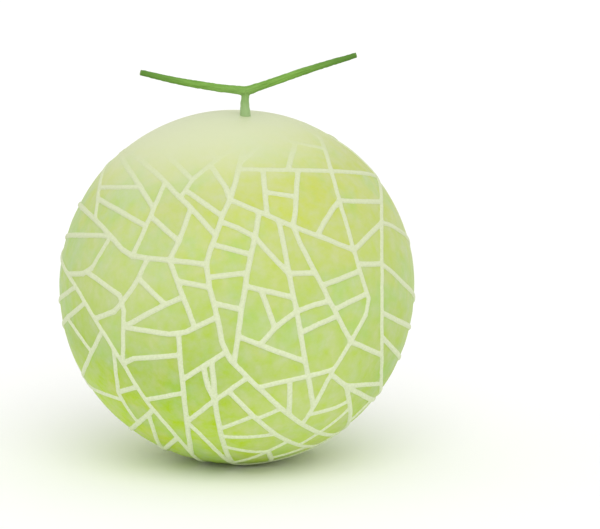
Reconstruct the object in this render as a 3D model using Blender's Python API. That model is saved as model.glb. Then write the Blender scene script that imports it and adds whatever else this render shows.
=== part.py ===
"""A whole netted melon that stands on its blossom end, with the T-shaped piece of vine it was cut with.

Metres, +Z up. The origin is the middle of the flat spot that the fruit rests on. Its front looks to -Y.
"""

import cmath
import math
import random

import bmesh
import bpy
from mathutils import Vector

MM = 0.001

# Fruit
RIND_RADIUS = 75.0 * MM
REST_SPOT_RADIUS = 13.0 * MM
REST_SPOT_CORNERS = 24
SEAT_RADIUS = 4.5 * MM
SEAT_CORNERS = 16
CROWN_LEAN = math.radians(2.9)
DIMPLE_DEPTH = 1.5 * MM
DIMPLE_SPREAD = math.radians(9.0)
CENTRE = Vector((0.0, 0.0, math.sqrt(RIND_RADIUS**2 - REST_SPOT_RADIUS**2)))
CROWN = Vector((math.sin(CROWN_LEAN), 0.0, math.cos(CROWN_LEAN)))

# Raised net
NET_HEIGHT = 0.85 * MM
NET_WIDTH = 3.0 * MM
NET_TOP_SHARE = 0.55
NET_UNEVENNESS = 0.12
WIDTH_UNEVENNESS = 0.08
NET_STARTS = math.radians(27.0)
NET_IS_FULL = math.radians(47.0)
NET_FREE_LEAN = math.radians(-6.0)
NET_FREE_MIDDLE = Vector((math.sin(NET_FREE_LEAN), 0.0, math.cos(NET_FREE_LEAN)))
NET_FREE_RIM = math.radians(5.0)
NET_SEED = 20
CORNER_TURN = math.radians(18.0)
LEAST_SIDE_LEFT = 0.15
WIDTH_SHARES = (1.0, 0.9, 0.8, 0.7, 0.6, 0.5, 0.4, 0.3, 0.2, 0.1)
PLAIN_FLOOR = 170.0 * MM * MM
FLAT_CELLS = 2

# How the net cracks: cells split until they are small enough, and a later crack ends on the older ones
LARGEST_CELL = 450.0 * MM * MM
LARGEST_COVERED_CELL = 1250.0 * MM * MM
FRONT_LIMB = 0.0
SMALLEST_SHARE = 0.3
CRACK_STEP = 1.5 * MM
CRACK_REACH = 150.0 * MM
CRACK_PIECE = 8.0 * MM
JUNCTION_REACH = 2.3 * MM
SHORTEST_CRACK = 7.0 * MM
SHARPEST_MEETING = math.radians(52.0)
CRACK_SLANT = math.radians(28.0)
WANDER = 2.2 * MM
WANDER_LENGTH = 26.0 * MM
SPLIT_TRIES = 60
STRICT_TRIES = 50
SHIFT_SHARE = 0.14
LEAST_LIMIT = 0.7
LONGEST_CELL = 36.0 * MM
SEAM_BEHIND = math.radians(6.0)
SEAM_WANDER = math.radians(4.0)
SEAM_KNOT = math.radians(19.0)
SEAM_ENDS = 0.12
TANGENT_GUIDE = Vector((0.3, 0.5, 0.8))

# The front of the net: its cracks as seen from a little above, oldest first, each by points that it passes.
# They are picture points, with the fruit's middle and radius given in the same points, and they cover the
# front but for its lower right.
PICTURE_MIDDLE = (236.9, 286.4)
PICTURE_RADIUS = 178.3
PICTURE_ELEVATION = math.radians(12.0)
COVERED_LEFT_OF = 215
COVERED_DOWN_TO = 397
FRONT_CRACKS = (
    ((65, 267), (82, 292), (98, 318), (122, 355), (148, 398), (180, 437), (195, 456)),
    ((381, 192), (381, 390)),
    ((240, 171), (235, 195), (225, 215), (217, 240), (207, 262), (212, 287), (218, 308), (227, 352),
     (249, 375), (273, 398)),
    ((325, 150), (338, 198), (353, 250), (363, 283), (370, 305), (350, 341), (333, 367), (318, 397)),
    ((80, 205), (98, 220), (115, 238), (133, 257), (172, 260), (207, 264)),
    ((234, 202), (260, 213), (288, 225), (317, 236), (353, 250)),
    ((112, 240), (92, 273), (72, 274)),
    ((93, 274), (128, 298), (127, 325), (126, 357)),
    ((129, 326), (181, 334), (219, 316)),
    ((145, 163), (167, 182), (180, 197), (193, 208), (217, 235)),
    ((193, 211), (183, 240), (173, 260)),
    ((174, 262), (180, 280), (188, 300), (197, 325)),
    ((168, 183), (158, 207), (148, 230), (136, 256)),
    ((127, 165), (143, 188), (157, 210)),
    ((102, 178), (98, 218)),
    ((182, 336), (184, 370), (188, 410), (192, 452)),
    ((260, 216), (256, 240), (250, 267), (244, 302), (240, 334), (236, 360)),
    ((280, 224), (285, 247), (289, 272), (297, 310), (303, 345), (308, 373), (312, 396)),
    ((294, 228), (304, 252), (315, 271), (330, 302), (337, 315), (349, 338)),
    ((241, 335), (261, 343), (304, 359)), ((262, 342), (275, 326), (296, 311)), ((248, 286), (292, 296)),
    ((263, 291), (268, 303), (275, 325)),
    ((242, 171), (328, 172)), ((333, 172), (368, 174)),
    ((73, 235), (111, 236)), ((101, 188), (141, 188)), ((103, 201), (146, 225)),
    ((155, 218), (180, 240)), ((150, 262), (143, 278), (129, 297)), ((131, 324), (163, 306), (186, 296)),
    ((144, 280), (165, 300)), ((182, 281), (208, 286)), ((210, 168), (193, 182), (184, 197)),
    ((170, 157), (192, 179)), ((191, 194), (223, 216)), ((213, 168), (230, 192)),
    ((224, 223), (240, 229), (255, 237)), ((219, 246), (250, 254)), ((211, 277), (247, 273)),
    ((264, 174), (268, 215)), ((298, 174), (295, 225)), ((269, 194), (295, 198)),
    ((318, 234), (330, 213), (338, 203)), ((341, 202), (379, 202)), ((355, 248), (379, 225)),
    ((383, 221), (403, 233)), ((359, 264), (379, 264)), ((383, 264), (412, 292)), ((325, 284), (359, 271)),
    ((292, 273), (314, 273)), ((258, 241), (270, 253), (287, 271)),
    ((219, 303), (242, 308)), ((299, 311), (318, 302), (329, 300)), ((303, 330), (336, 315)),
    ((337, 307), (364, 294)), ((352, 341), (379, 353)), ((383, 313), (409, 326)), ((383, 338), (399, 355)),
    ((263, 384), (290, 378), (307, 374)), ((310, 374), (331, 368)), ((290, 379), (290, 400)),
    ((330, 372), (345, 384), (367, 397)), ((347, 384), (379, 383)), ((346, 386), (349, 400)),
    ((187, 376), (207, 363), (226, 351)), ((191, 418), (212, 401), (249, 375)), ((192, 422), (225, 457)),
    ((214, 360), (216, 380), (217, 397)), ((206, 365), (209, 380), (213, 396)),
    ((217, 402), (220, 420)), ((232, 390), (248, 407)), ((153, 397), (184, 391)), ((127, 358), (182, 353)),
    ((133, 428), (153, 410)), ((117, 350), (121, 395), (137, 418)), ((123, 390), (139, 385)),
    ((97, 390), (119, 397)), ((151, 414), (158, 440)), ((167, 447), (178, 437)), ((100, 317), (125, 308)),
    ((84, 371), (104, 333)), ((87, 303), (67, 319)), ((70, 319), (91, 347)), ((62, 297), (76, 288)),
    ((292, 143), (322, 149)), ((295, 147), (289, 169)), ((243, 163), (264, 143)),
)

# Stem: a stalk from the seat up to the vine, whose two arms' places are in millimetres from where they meet
STEM_GAP = 0.3 * MM
STEM_MEETS = CENTRE + Vector((3.9, 0.0, 84.1)) * MM
LEFT_ARM = ((-44.2, -4.0, 8.6), (-29.0, -2.2, 4.7), (-13.0, -0.6, 1.6), (-3.0, -0.1, 0.3))
RIGHT_ARM = ((3.0, 0.1, 0.8), (12.0, 0.8, 3.8), (28.0, 2.6, 9.1), (46.6, 5.0, 14.4))
VINE_RADIUS = 1.85 * MM
VINE_TIP_RADIUS = 1.35 * MM
NODE_SWELLING = 0.2 * MM
NODE_LENGTH = 4.0 * MM
VINE_PIECES = 36
STALK_BASE_RADIUS = 2.35 * MM
STALK_NECK_RADIUS = 1.7 * MM
STALK_NECK_AT = 0.9
STALK_BOW = 0.25 * MM
STALK_PIECES = 9
STEM_RIBS = 5
SIDES_PER_RIB = 3
RIB_DEPTH = 0.08
RIB_TWIST = 1.2

# Finish
RIND_COLOUR = "C3D67F"
STEM_COLOUR = "82AC53"
RIND_ROUGHNESS = 0.55
STEM_ROUGHNESS = 0.7
SMOOTH_ANGLE = math.radians(32.0)


def smooth_step(value, low, high):
    """0 below low, 1 above high and an even rise between."""
    share = min(1.0, max(0.0, (value - low) / (high - low)))
    return share * share * (3.0 - 2.0 * share)


def turned(start, heading, angle):
    """The direction that lies an angle away from start along a heading square to it."""
    return start * math.cos(angle) + heading * math.sin(angle)


def picture_direction(point):
    """Direction from the fruit's middle to the place on its front that a picture point shows."""
    right = (point[0] - PICTURE_MIDDLE[0]) / PICTURE_RADIUS
    up = (PICTURE_MIDDLE[1] - point[1]) / PICTURE_RADIUS
    towards = math.sqrt(max(0.0, 1.0 - right * right - up * up))
    tilt_cos = math.cos(PICTURE_ELEVATION)
    tilt_sin = math.sin(PICTURE_ELEVATION)
    direction = Vector((right, up * tilt_sin - towards * tilt_cos, up * tilt_cos + towards * tilt_sin))
    return direction.normalized()


def area_within(ring):
    """Area on the rind within a ring of directions."""
    total = Vector()
    for a, b in zip(ring, ring[1:] + ring[:1]):
        total += a.cross(b)
    return total.length / 2.0 * RIND_RADIUS**2


def tangent_axes(middle):
    """Two directions square to each other and to middle, turning anticlockwise as seen from outside."""
    across = middle.cross(TANGENT_GUIDE).normalized()
    return across, middle.cross(across)


class Net:
    """The net's cracks: points on a sphere of radius 1, and the rings of them round the cells in between."""

    def __init__(self):
        self.points = []
        self.meetings = set()
        self.cells = []

    def add_point(self, place, is_meeting=False):
        self.points.append(place.normalized())
        if is_meeting:
            self.meetings.add(len(self.points) - 1)
        return len(self.points) - 1

    def sides(self, cell):
        ring = self.cells[cell]
        return zip(ring, ring[1:] + ring[:1])

    def middle(self, cell):
        """Direction of the cell's middle, weighted by the area round it."""
        total = Vector()
        for a, b in self.sides(cell):
            total += self.points[a].cross(self.points[b])
        return total.normalized()

    def area(self, cell):
        return area_within([self.points[p] for p in self.cells[cell]])

    def holds(self, cell, place):
        """Whether the cell's ring goes once anticlockwise round the place."""
        across, up = tangent_axes(place)
        turn = 0.0
        for a, b in self.sides(cell):
            start = self.points[a]
            end = self.points[b]
            angle = math.atan2(end.dot(up), end.dot(across)) - math.atan2(start.dot(up), start.dot(across))
            turn += (angle + math.pi) % math.tau - math.pi
        return turn > math.pi

    def first_crossing(self, cell, path):
        """Where a path from inside the cell first crosses its ring: its step, the side and the place."""
        for step, (start, end) in enumerate(zip(path, path[1:])):
            plane = start.cross(end)
            found = []
            for a, b in self.sides(cell):
                one = self.points[a]
                other = self.points[b]
                if (plane.dot(one) > 0.0) == (plane.dot(other) > 0.0):
                    continue
                side = one.cross(other)
                if (side.dot(start) > 0.0) == (side.dot(end) > 0.0):
                    continue
                place = plane.cross(side).normalized()
                if place.dot(start) < 0.0:
                    place.negate()
                if place.dot(one) > 0.0:
                    found.append(((place - start).length, (a, b), place))
            if found:
                nearest = min(found)
                return step, nearest[1], nearest[2]
        return None

    def near_meeting(self, cell, place):
        """The point of the cell's ring where cracks already meet within reach of a place, or None."""
        met = [((self.points[p] - place).length, p) for p in self.cells[cell] if p in self.meetings]
        if met and min(met)[0] < JUNCTION_REACH / RIND_RADIUS:
            return min(met)[1]
        return None

    def meeting_point(self, cell, side, place):
        """The point of the cell's ring where a crack ends: one near enough, or a new one on the side."""
        met = self.near_meeting(cell, place)
        if met is not None:
            return met
        distance, point = min(((self.points[p] - place).length, p) for p in side)
        if distance < JUNCTION_REACH / RIND_RADIUS and point not in self.meetings:
            self.points[point] = place
            self.meetings.add(point)
            return point
        point = self.add_point(place, is_meeting=True)
        for ring in self.cells:
            for start, end in (side, side[::-1]):
                if start in ring and ring[(ring.index(start) + 1) % len(ring)] == end:
                    ring.insert(ring.index(start) + 1, point)
        return point

    def meets_squarely(self, cell, crossing, towards):
        """Whether a crack from this end keeps a wide enough angle to the ring on both sides."""
        ring = self.cells[cell]
        _, neighbours, place = crossing
        met = self.near_meeting(cell, place)
        if met is not None:
            place = self.points[met]
            spot = ring.index(met)
            neighbours = (ring[spot - 1], ring[(spot + 1) % len(ring)])
        heading = towards - place
        return min(heading.angle(self.points[p] - place) for p in neighbours) > SHARPEST_MEETING

    def shares_fairly(self, cell, ahead, behind):
        """Whether neither half would be too small a share of the cell."""
        ring = self.cells[cell]
        one = ring.index(ahead[1][1])
        steps = (ring.index(behind[1][0]) - one) % len(ring)
        half = [ahead[2]] + [self.points[ring[(one + k) % len(ring)]] for k in range(steps + 1)] + [behind[2]]
        share = area_within(half) / self.area(cell)
        return SMALLEST_SHARE < share < 1.0 - SMALLEST_SHARE

    def suits(self, cell, ahead, behind, towards):
        """Whether a crack between two crossings would leave well-shaped cells."""
        return (
            (ahead[2] - behind[2]).length * RIND_RADIUS > SHORTEST_CRACK
            and self.meets_squarely(cell, ahead, towards)
            and self.meets_squarely(cell, behind, towards)
            and self.shares_fairly(cell, ahead, behind)
        )

    def crack(self, cell, path, start, strict=False):
        """Cracks a cell in two along a path, from its start step both ways. Returns whether it did."""
        ahead = self.first_crossing(cell, path[start:])
        behind = self.first_crossing(cell, path[start::-1])
        if ahead is None or behind is None or (strict and not self.suits(cell, ahead, behind, path[start])):
            return False
        last = self.meeting_point(cell, *ahead[1:])
        behind = self.first_crossing(cell, path[start::-1])
        first = self.meeting_point(cell, *behind[1:])
        ring = self.cells[cell]
        if (ring.index(first) - ring.index(last)) % len(ring) in (0, 1, len(ring) - 1):
            return False
        between = self.pieces(first, path[start - behind[0] : start + ahead[0] + 1], last)
        ring = ring[ring.index(last) :] + ring[: ring.index(last)]
        at_first = ring.index(first)
        self.cells[cell] = ring[: at_first + 1] + between
        self.cells.append(ring[at_first:] + [last] + between[::-1])
        return True

    def pieces(self, first, inner, last):
        """New points that part a crack into pieces of about the same length, from first to last."""
        places = [self.points[first]] + list(inner) + [self.points[last]]
        lengths = [(b - a).length * RIND_RADIUS for a, b in zip(places, places[1:])]
        count = max(1, round(sum(lengths) / CRACK_PIECE))
        made = []
        for k in range(1, count):
            left = sum(lengths) * k / count
            spot = 0
            while left > lengths[spot]:
                left -= lengths[spot]
                spot += 1
            made.append(self.add_point(places[spot].lerp(places[spot + 1], left / lengths[spot])))
        return made


def lengthened(path):
    """The path with both its ends led on along great circles."""
    step = CRACK_STEP / RIND_RADIUS
    count = round(CRACK_REACH / CRACK_STEP)
    longer = list(path)
    for _ in range(2):
        last = longer[-1]
        back = longer[-2]
        heading = (last - back * last.dot(back)).normalized()
        heading = (heading - last * heading.dot(last)).normalized()
        longer += [turned(last, heading, step * (k + 1)) for k in range(count)]
        longer.reverse()
    return longer, count


def front_path(corners):
    """A front crack's path on the sphere in short steps, and the step at its middle."""
    path = []
    for start, end in zip(corners, corners[1:]):
        one = Vector(start)
        other = Vector(end)
        steps = max(2, round((other - one).length / PICTURE_RADIUS * RIND_RADIUS / CRACK_STEP))
        path += [picture_direction(one.lerp(other, k / steps)) for k in range(steps)]
    path.append(picture_direction(corners[-1]))
    middle = len(path) // 2
    path, added = lengthened(path)
    return path, middle + added


def ruled_path(middle, heading, rng):
    """A later crack's path: a great circle through the middle that wanders a little from side to side."""
    step = CRACK_STEP / RIND_RADIUS
    count = round(CRACK_REACH / CRACK_STEP)
    per_knot = round(WANDER_LENGTH / CRACK_STEP)
    knots = [rng.uniform(-WANDER, WANDER) / RIND_RADIUS for _ in range(2 * count // per_knot + 3)]
    aside = middle.cross(heading)
    path = []
    for k in range(2 * count + 1):
        knot, share = divmod(k, per_knot)
        offset = knots[knot] + (knots[knot + 1] - knots[knot]) * share / per_knot
        path.append((turned(middle, heading, step * (k - count)) + aside * offset).normalized())
    return path, count


def long_way(net, cell):
    """The direction in which a cell is longest, and how long it is there."""
    across, up = tangent_axes(net.middle(cell))
    xx = xy = yy = 0.0
    for a, b in net.sides(cell):
        place = (net.points[a] + net.points[b]) / 2.0
        weight = (net.points[a] - net.points[b]).length
        xx += weight * place.dot(across) ** 2
        xy += weight * place.dot(across) * place.dot(up)
        yy += weight * place.dot(up) ** 2
    heading = turned(across, up, math.atan2(2.0 * xy, xx - yy) / 2.0)
    places = [net.points[p].dot(heading) for p in net.cells[cell]]
    return heading, (max(places) - min(places)) * RIND_RADIUS


def ring_round(net, axis, right, radius, corners):
    """Points evenly round an axis, the first of them towards right."""
    lean = math.asin(radius / RIND_RADIUS)
    aside = axis.cross(right)
    return [
        net.add_point(turned(axis, turned(right, aside, math.tau * k / corners), lean), is_meeting=True)
        for k in range(corners)
    ]


def seam(net, start, end, rng):
    """Points between two others down one side of the fruit, just behind its outline as seen from the front."""
    one = net.points[start]
    other = net.points[end]
    angle = one.angle(other)
    count = round(angle * RIND_RADIUS / CRACK_PIECE)
    knots = round(angle / SEAM_KNOT)
    offsets = [SEAM_BEHIND + rng.uniform(-SEAM_WANDER, SEAM_WANDER) for _ in range(knots + 1)]
    made = []
    for k in range(1, count):
        knot, share = divmod(k / count * knots, 1.0)
        knot = int(knot)
        offset = offsets[knot] + (offsets[knot + 1] - offsets[knot]) * share
        place = one.slerp(other, k / count)
        back = place.z * math.tan(PICTURE_ELEVATION) + math.tan(offset)
        fade = min(1.0, k / count / SEAM_ENDS, (1.0 - k / count) / SEAM_ENDS)
        made.append(net.add_point(place + Vector((0.0, back * fade, 0.0))))
    return made


def first_cells(net, rng):
    """The stem's seat, the rest spot, and the fruit's front and back, with a seam down each side."""
    crown_right = Vector((CROWN.z, 0.0, -CROWN.x))
    seat = ring_round(net, CROWN, crown_right, SEAT_RADIUS, SEAT_CORNERS)
    rest = ring_round(net, Vector((0, 0, -1)), Vector((1, 0, 0)), REST_SPOT_RADIUS, REST_SPOT_CORNERS)
    half_seat = SEAT_CORNERS // 2
    half_rest = REST_SPOT_CORNERS // 2
    right = seam(net, seat[0], rest[0], rng)
    left = seam(net, seat[half_seat], rest[half_rest], rng)
    seat_front = [seat[0]] + seat[: half_seat - 1 : -1]
    seat_back = seat[half_seat::-1]
    rest_front = rest[: half_rest + 1]
    rest_back = rest[half_rest:] + rest[:1]
    net.cells = [
        seat,
        rest,
        seat_front + left + rest_front[::-1] + right[::-1],
        seat_back + right + rest_back[::-1] + left[::-1],
    ]


def net_share(direction):
    """How much of its height the net has there: none round the stem and the rest spot, all of it between."""
    rest_edge = math.asin(REST_SPOT_RADIUS / RIND_RADIUS)
    from_top = direction.angle(NET_FREE_MIDDLE)
    from_rest = direction.angle(Vector((0.0, 0.0, -1.0)))
    share = smooth_step(from_top, NET_STARTS, NET_IS_FULL)
    return share * smooth_step(from_rest, rest_edge, rest_edge + NET_FREE_RIM)


def is_covered(direction):
    """Whether the net there is given by the front's own cracks."""
    tilt = Vector((0.0, math.sin(PICTURE_ELEVATION), math.cos(PICTURE_ELEVATION)))
    across = PICTURE_MIDDLE[0] + direction.x * PICTURE_RADIUS
    down = PICTURE_MIDDLE[1] - direction.dot(tilt) * PICTURE_RADIUS
    facing = direction.dot(picture_direction(PICTURE_MIDDLE))
    in_reach = across < COVERED_LEFT_OF or down < COVERED_DOWN_TO
    return facing > FRONT_LIMB and in_reach and net_share(direction) > 0.0


def crack_across(net, cell, rng):
    """Cracks a cell about across its long way."""
    for attempt in range(SPLIT_TRIES):
        long_heading, length = long_way(net, cell)
        shift = rng.uniform(-SHIFT_SHARE, SHIFT_SHARE) * length / RIND_RADIUS
        middle = (net.middle(cell) + long_heading * shift).normalized()
        heading = long_heading.cross(middle).normalized()
        heading = turned(heading, middle.cross(heading), rng.uniform(-CRACK_SLANT, CRACK_SLANT))
        if not net.holds(cell, middle):
            continue
        path, start = ruled_path(middle, heading, rng)
        if net.crack(cell, path, start, strict=attempt < STRICT_TRIES):
            return True
    return False


def crack_by_rule(net, rng):
    """Cracks the cells that are too large or too long, until none is left."""
    waiting = list(range(2, len(net.cells)))
    while waiting:
        cell = waiting.pop()
        if is_covered(net.middle(cell)):
            is_ripe = net.area(cell) > LARGEST_COVERED_CELL
        else:
            is_large = net.area(cell) > LARGEST_CELL * rng.uniform(LEAST_LIMIT, 1.0)
            is_ripe = is_large or long_way(net, cell)[1] > LONGEST_CELL
        if is_ripe and crack_across(net, cell, rng):
            waiting += [cell, len(net.cells) - 1]


def grown_net(rng):
    """The whole net: the front's cracks as placed, and all the others by the rule."""
    net = Net()
    first_cells(net, rng)
    for corners in FRONT_CRACKS:
        path, start = front_path(corners)
        holders = [cell for cell in range(2, len(net.cells)) if net.holds(cell, path[start])]
        for cell in holders:
            net.crack(cell, path, start)
    crack_by_rule(net, rng)
    return net


def on_rind(direction, lift=0.0):
    """Place on the fruit in a direction from its middle, a little hollow at the crown."""
    dimple = DIMPLE_DEPTH * math.exp(-((direction.angle(CROWN) / DIMPLE_SPREAD) ** 2))
    return CENTRE + direction * (RIND_RADIUS - dimple + lift)


def moved_inwards(outline, width):
    """A flat outline of complex numbers moved inwards by a width, or None if it would turn inside out."""
    count = len(outline)
    along = [outline[(k + 1) % count] - outline[k] for k in range(count)]
    along = [step / abs(step) for step in along]
    corners = [k for k in range(count) if abs(cmath.phase(along[k] / along[k - 1])) > CORNER_TURN]
    if len(corners) < 3:
        corners = list(range(count))
    moved = list(outline)
    for k in corners:
        meeting = 1.0 + (along[k] * along[k - 1].conjugate()).real
        moved[k] += width * 1j * (along[k] + along[k - 1]) / meeting
    for one, other in zip(corners, corners[1:] + corners[:1]):
        stretch = (moved[other] - moved[one]) / (outline[other] - outline[one])
        if stretch.real < LEAST_SIDE_LEFT:
            return None
        for k in range(1, (other - one) % count):
            at = (one + k) % count
            moved[at] = moved[one] + (outline[at] - outline[one]) * stretch
    return moved


def sees_all(middle, outline):
    """Whether straight lines from the middle reach every point of a flat outline from inside."""
    spokes = [point - middle for point in outline]
    return all((a.conjugate() * b).imag > 0.0 for a, b in zip(spokes, spokes[1:] + spokes[:1]))


def edges_of_net(net, cell, width):
    """The net's shoulder and foot round a cell, and the cell's middle if it sees the whole foot."""
    middle = net.middle(cell)
    across, up = tangent_axes(middle)
    outline = []
    for point in net.cells[cell]:
        place = net.points[point] / net.points[point].dot(middle)
        outline.append(complex(place.dot(across), place.dot(up)) * RIND_RADIUS)
    chosen = None
    for share in WIDTH_SHARES:
        shoulder = moved_inwards(outline, width * share * NET_TOP_SHARE / 2.0)
        foot = moved_inwards(outline, width * share / 2.0)
        if foot is None or shoulder is None:
            continue
        sees = sees_all(sum(foot) / len(foot), foot)
        if chosen is None or sees:
            chosen = (shoulder, foot, sees)
        if sees:
            break
    shoulder, foot, sees = chosen
    flat = [*shoulder, *foot, sum(foot) / len(foot)]
    directions = [(middle + (across * p.real + up * p.imag) / RIND_RADIUS).normalized() for p in flat]
    count = len(outline)
    return directions[:count], directions[count:-1], directions[-1] if sees else None


def add_face(mesh, corners):
    """A face of the corners that differ, if they are enough for one."""
    ring = [corner for k, corner in enumerate(corners) if corner is not corners[k - 1]]
    if len(ring) > 2:
        mesh.faces.new(ring)


def add_cell(mesh, net, cell, heights, width):
    """One cell's sunk floor and the slope up to the net round it. Returns its shoulder's vertices."""
    shoulder, foot, middle = edges_of_net(net, cell, width)
    lifts = [heights[point] * net_share(place) for place, point in zip(shoulder, net.cells[cell])]
    upper = [mesh.verts.new(on_rind(place, lift)) for place, lift in zip(shoulder, lifts)]
    lower = [mesh.verts.new(on_rind(place)) for place in foot]
    for k in range(len(upper)):
        mesh.faces.new((upper[k - 1], upper[k], lower[k], lower[k - 1]))
    add_floor(mesh, lower, middle if net.area(cell) > PLAIN_FLOOR else None)
    return upper


def add_floor(mesh, ring, middle):
    """Fills a ring of vertices, from a vertex in its middle if one is given."""
    if middle is None:
        mesh.faces.new(ring)
        return
    hub = mesh.verts.new(on_rind(middle))
    for one, other in zip(ring, ring[1:] + ring[:1]):
        mesh.faces.new((one, other, hub))


def add_net_top(mesh, net, shoulders):
    """The flat top of the net: a strip along each piece of crack, and a face where cracks meet."""
    fans = {}
    for cell, ring in enumerate(net.cells):
        for k, point in enumerate(ring):
            following = ring[(k + 1) % len(ring)]
            fans.setdefault(point, {})[following] = (ring[k - 1], shoulders[cell][k])
    for point, fan in fans.items():
        key = next(iter(fan))
        corners = []
        for _ in fan:
            key, corner = fan[key]
            corners.append(corner)
        add_face(mesh, corners)
        for following in fan:
            if point < following:
                left = (fans[point][following][1], left_corner(fans, point, following))
                right = (fans[following][point][1], left_corner(fans, following, point))
                add_face(mesh, (right[1], right[0], left[1], left[0]))


def left_corner(fans, point, following):
    """The shoulder's vertex at the following point, on the left of the piece that runs to it."""
    return next(corner for before, corner in fans[following].values() if before == point)


def fruit_mesh(net, rng):
    """The rind and its raised net. Cells that the net doesn't reach are plain rind."""
    heights = [NET_HEIGHT * rng.uniform(1.0 - NET_UNEVENNESS, 1.0 + NET_UNEVENNESS) for _ in net.points]
    mesh = bmesh.new()
    plain = [None] * len(net.points)
    shoulders = []
    for cell, ring in enumerate(net.cells):
        if any(net_share(net.points[point]) > 0.0 for point in ring):
            width = NET_WIDTH * rng.uniform(1.0 - WIDTH_UNEVENNESS, 1.0 + WIDTH_UNEVENNESS)
            shoulders.append(add_cell(mesh, net, cell, heights, width))
            continue
        for point in ring:
            plain[point] = plain[point] or mesh.verts.new(on_rind(net.points[point]))
        outer = [plain[point] for point in ring]
        add_floor(mesh, outer, None if cell < FLAT_CELLS else net.middle(cell))
        shoulders.append(outer)
    add_net_top(mesh, net, shoulders)
    return mesh


def smooth_curve(knots, count):
    """Places evenly spaced along a smooth curve through the knots."""
    ends = [knots[0] * 2.0 - knots[1]] + list(knots) + [knots[-1] * 2.0 - knots[-2]]
    places = []
    for before, start, end, after in zip(ends, ends[1:], ends[2:], ends[3:]):
        for k in range(count):
            t = k / count
            places.append(
                start
                + (end - before) * t / 2.0
                + (before * 2.0 - start * 5.0 + end * 4.0 - after) * t * t / 2.0
                + (start * 3.0 - before - end * 3.0 + after) * t * t * t / 2.0
            )
    places.append(knots[-1])
    lengths = [0.0]
    for one, other in zip(places, places[1:]):
        lengths.append(lengths[-1] + (other - one).length)
    even = []
    spot = 0
    for k in range(count + 1):
        wanted = lengths[-1] * k / count
        while spot < len(lengths) - 2 and lengths[spot + 1] < wanted:
            spot += 1
        share = (wanted - lengths[spot]) / (lengths[spot + 1] - lengths[spot])
        even.append(places[spot].lerp(places[spot + 1], share))
    return even


def ribbed_tube(name, path, radii):
    """A closed tube along a path, with low ribs that turn slowly round it."""
    mesh = bmesh.new()
    sides = STEM_RIBS * SIDES_PER_RIB
    rings = []
    for k, (place, radius) in enumerate(zip(path, radii)):
        along = (path[min(k + 1, len(path) - 1)] - path[max(k - 1, 0)]).normalized()
        across = Vector((0.0, 1.0, 0.0)).cross(along).normalized()
        up = along.cross(across)
        ring = []
        for side in range(sides):
            angle = math.tau * side / sides
            rib = 1.0 + RIB_DEPTH * math.cos(STEM_RIBS * angle + RIB_TWIST * k / len(path) * math.tau)
            ring.append(mesh.verts.new(place + turned(across, up, angle) * radius * rib))
        rings.append(ring)
    for ring, following in zip(rings, rings[1:]):
        for side in range(sides):
            corner = (side + 1) % sides
            mesh.faces.new((ring[side], ring[corner], following[corner], following[side]))
    mesh.faces.new(rings[0][::-1])
    mesh.faces.new(rings[-1])
    return object_from(name, mesh)


def object_from(name, mesh):
    """A smooth-shaded object made of a finished bmesh."""
    data = bpy.data.meshes.new(name)
    bmesh.ops.triangulate(mesh, faces=mesh.faces, quad_method="SHORT_EDGE", ngon_method="EAR_CLIP")
    mesh.to_mesh(data)
    mesh.free()
    data.shade_smooth()
    data.set_sharp_from_angle(angle=SMOOTH_ANGLE)
    made = bpy.data.objects.new(name, data)
    bpy.context.scene.collection.objects.link(made)
    return made


def plain_material(name, colour, roughness):
    """A material of one colour, given in sRGB hex."""
    channels = [int(colour[k : k + 2], 16) / 255.0 for k in (0, 2, 4)]
    linear = [c / 12.92 if c <= 0.04045 else ((c + 0.055) / 1.055) ** 2.4 for c in channels]
    material = bpy.data.materials.new(name)
    material.use_nodes = True
    surface = material.node_tree.nodes["Principled BSDF"]
    surface.inputs["Base Color"].default_value = (*linear, 1.0)
    surface.inputs["Roughness"].default_value = roughness
    return material


def make_fruit():
    """The melon, which rests on its blossom end."""
    rng = random.Random(NET_SEED)
    fruit = object_from("fruit", fruit_mesh(grown_net(rng), rng))
    fruit.data.materials.append(plain_material("melon_rind", RIND_COLOUR, RIND_ROUGHNESS))


def make_vine():
    """The piece of vine: two arms in a shallow V, thickest at the node where they meet."""
    knots = [STEM_MEETS + Vector(place) * MM for place in (*LEFT_ARM, (0.0, 0.0, 0.0), *RIGHT_ARM)]
    path = smooth_curve(knots, VINE_PIECES)
    radii = []
    for place in path:
        away = (place - STEM_MEETS).length
        share = away / (Vector(LEFT_ARM[0]).length * MM)
        swelling = NODE_SWELLING * math.exp(-((away / NODE_LENGTH) ** 2))
        radii.append(VINE_RADIUS + (VINE_TIP_RADIUS - VINE_RADIUS) * share**2 + swelling)
    return ribbed_tube("stem", path, radii)


def make_stalk():
    """The fruit stalk, thickest at its base just above the seat."""
    seat_lean = math.asin(SEAT_RADIUS / RIND_RADIUS)
    seat_edge = on_rind(turned(CROWN, Vector((CROWN.z, 0.0, -CROWN.x)), seat_lean)) - CENTRE
    base = CENTRE + CROWN * (seat_edge.dot(CROWN) + STEM_GAP)
    bow = Vector((-STALK_BOW, 0.0, 0.0))
    path = smooth_curve([base, base.lerp(STEM_MEETS, 0.5) + bow, STEM_MEETS], STALK_PIECES)
    radii = []
    for k in range(len(path)):
        share = smooth_step(k / STALK_PIECES, 0.0, STALK_NECK_AT)
        radii.append(STALK_BASE_RADIUS + (STALK_NECK_RADIUS - STALK_BASE_RADIUS) * share)
    return ribbed_tube("stalk", path, radii)


def make_stem():
    """The stalk and the vine, joined in one."""
    stem = make_vine()
    stalk = make_stalk()
    stalk.hide_render = True
    stalk.display_type = "WIRE"
    union = stem.modifiers.new("stalk", "BOOLEAN")
    union.operation = "UNION"
    union.object = stalk
    stem.data.materials.append(plain_material("melon_stem", STEM_COLOUR, STEM_ROUGHNESS))


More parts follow.
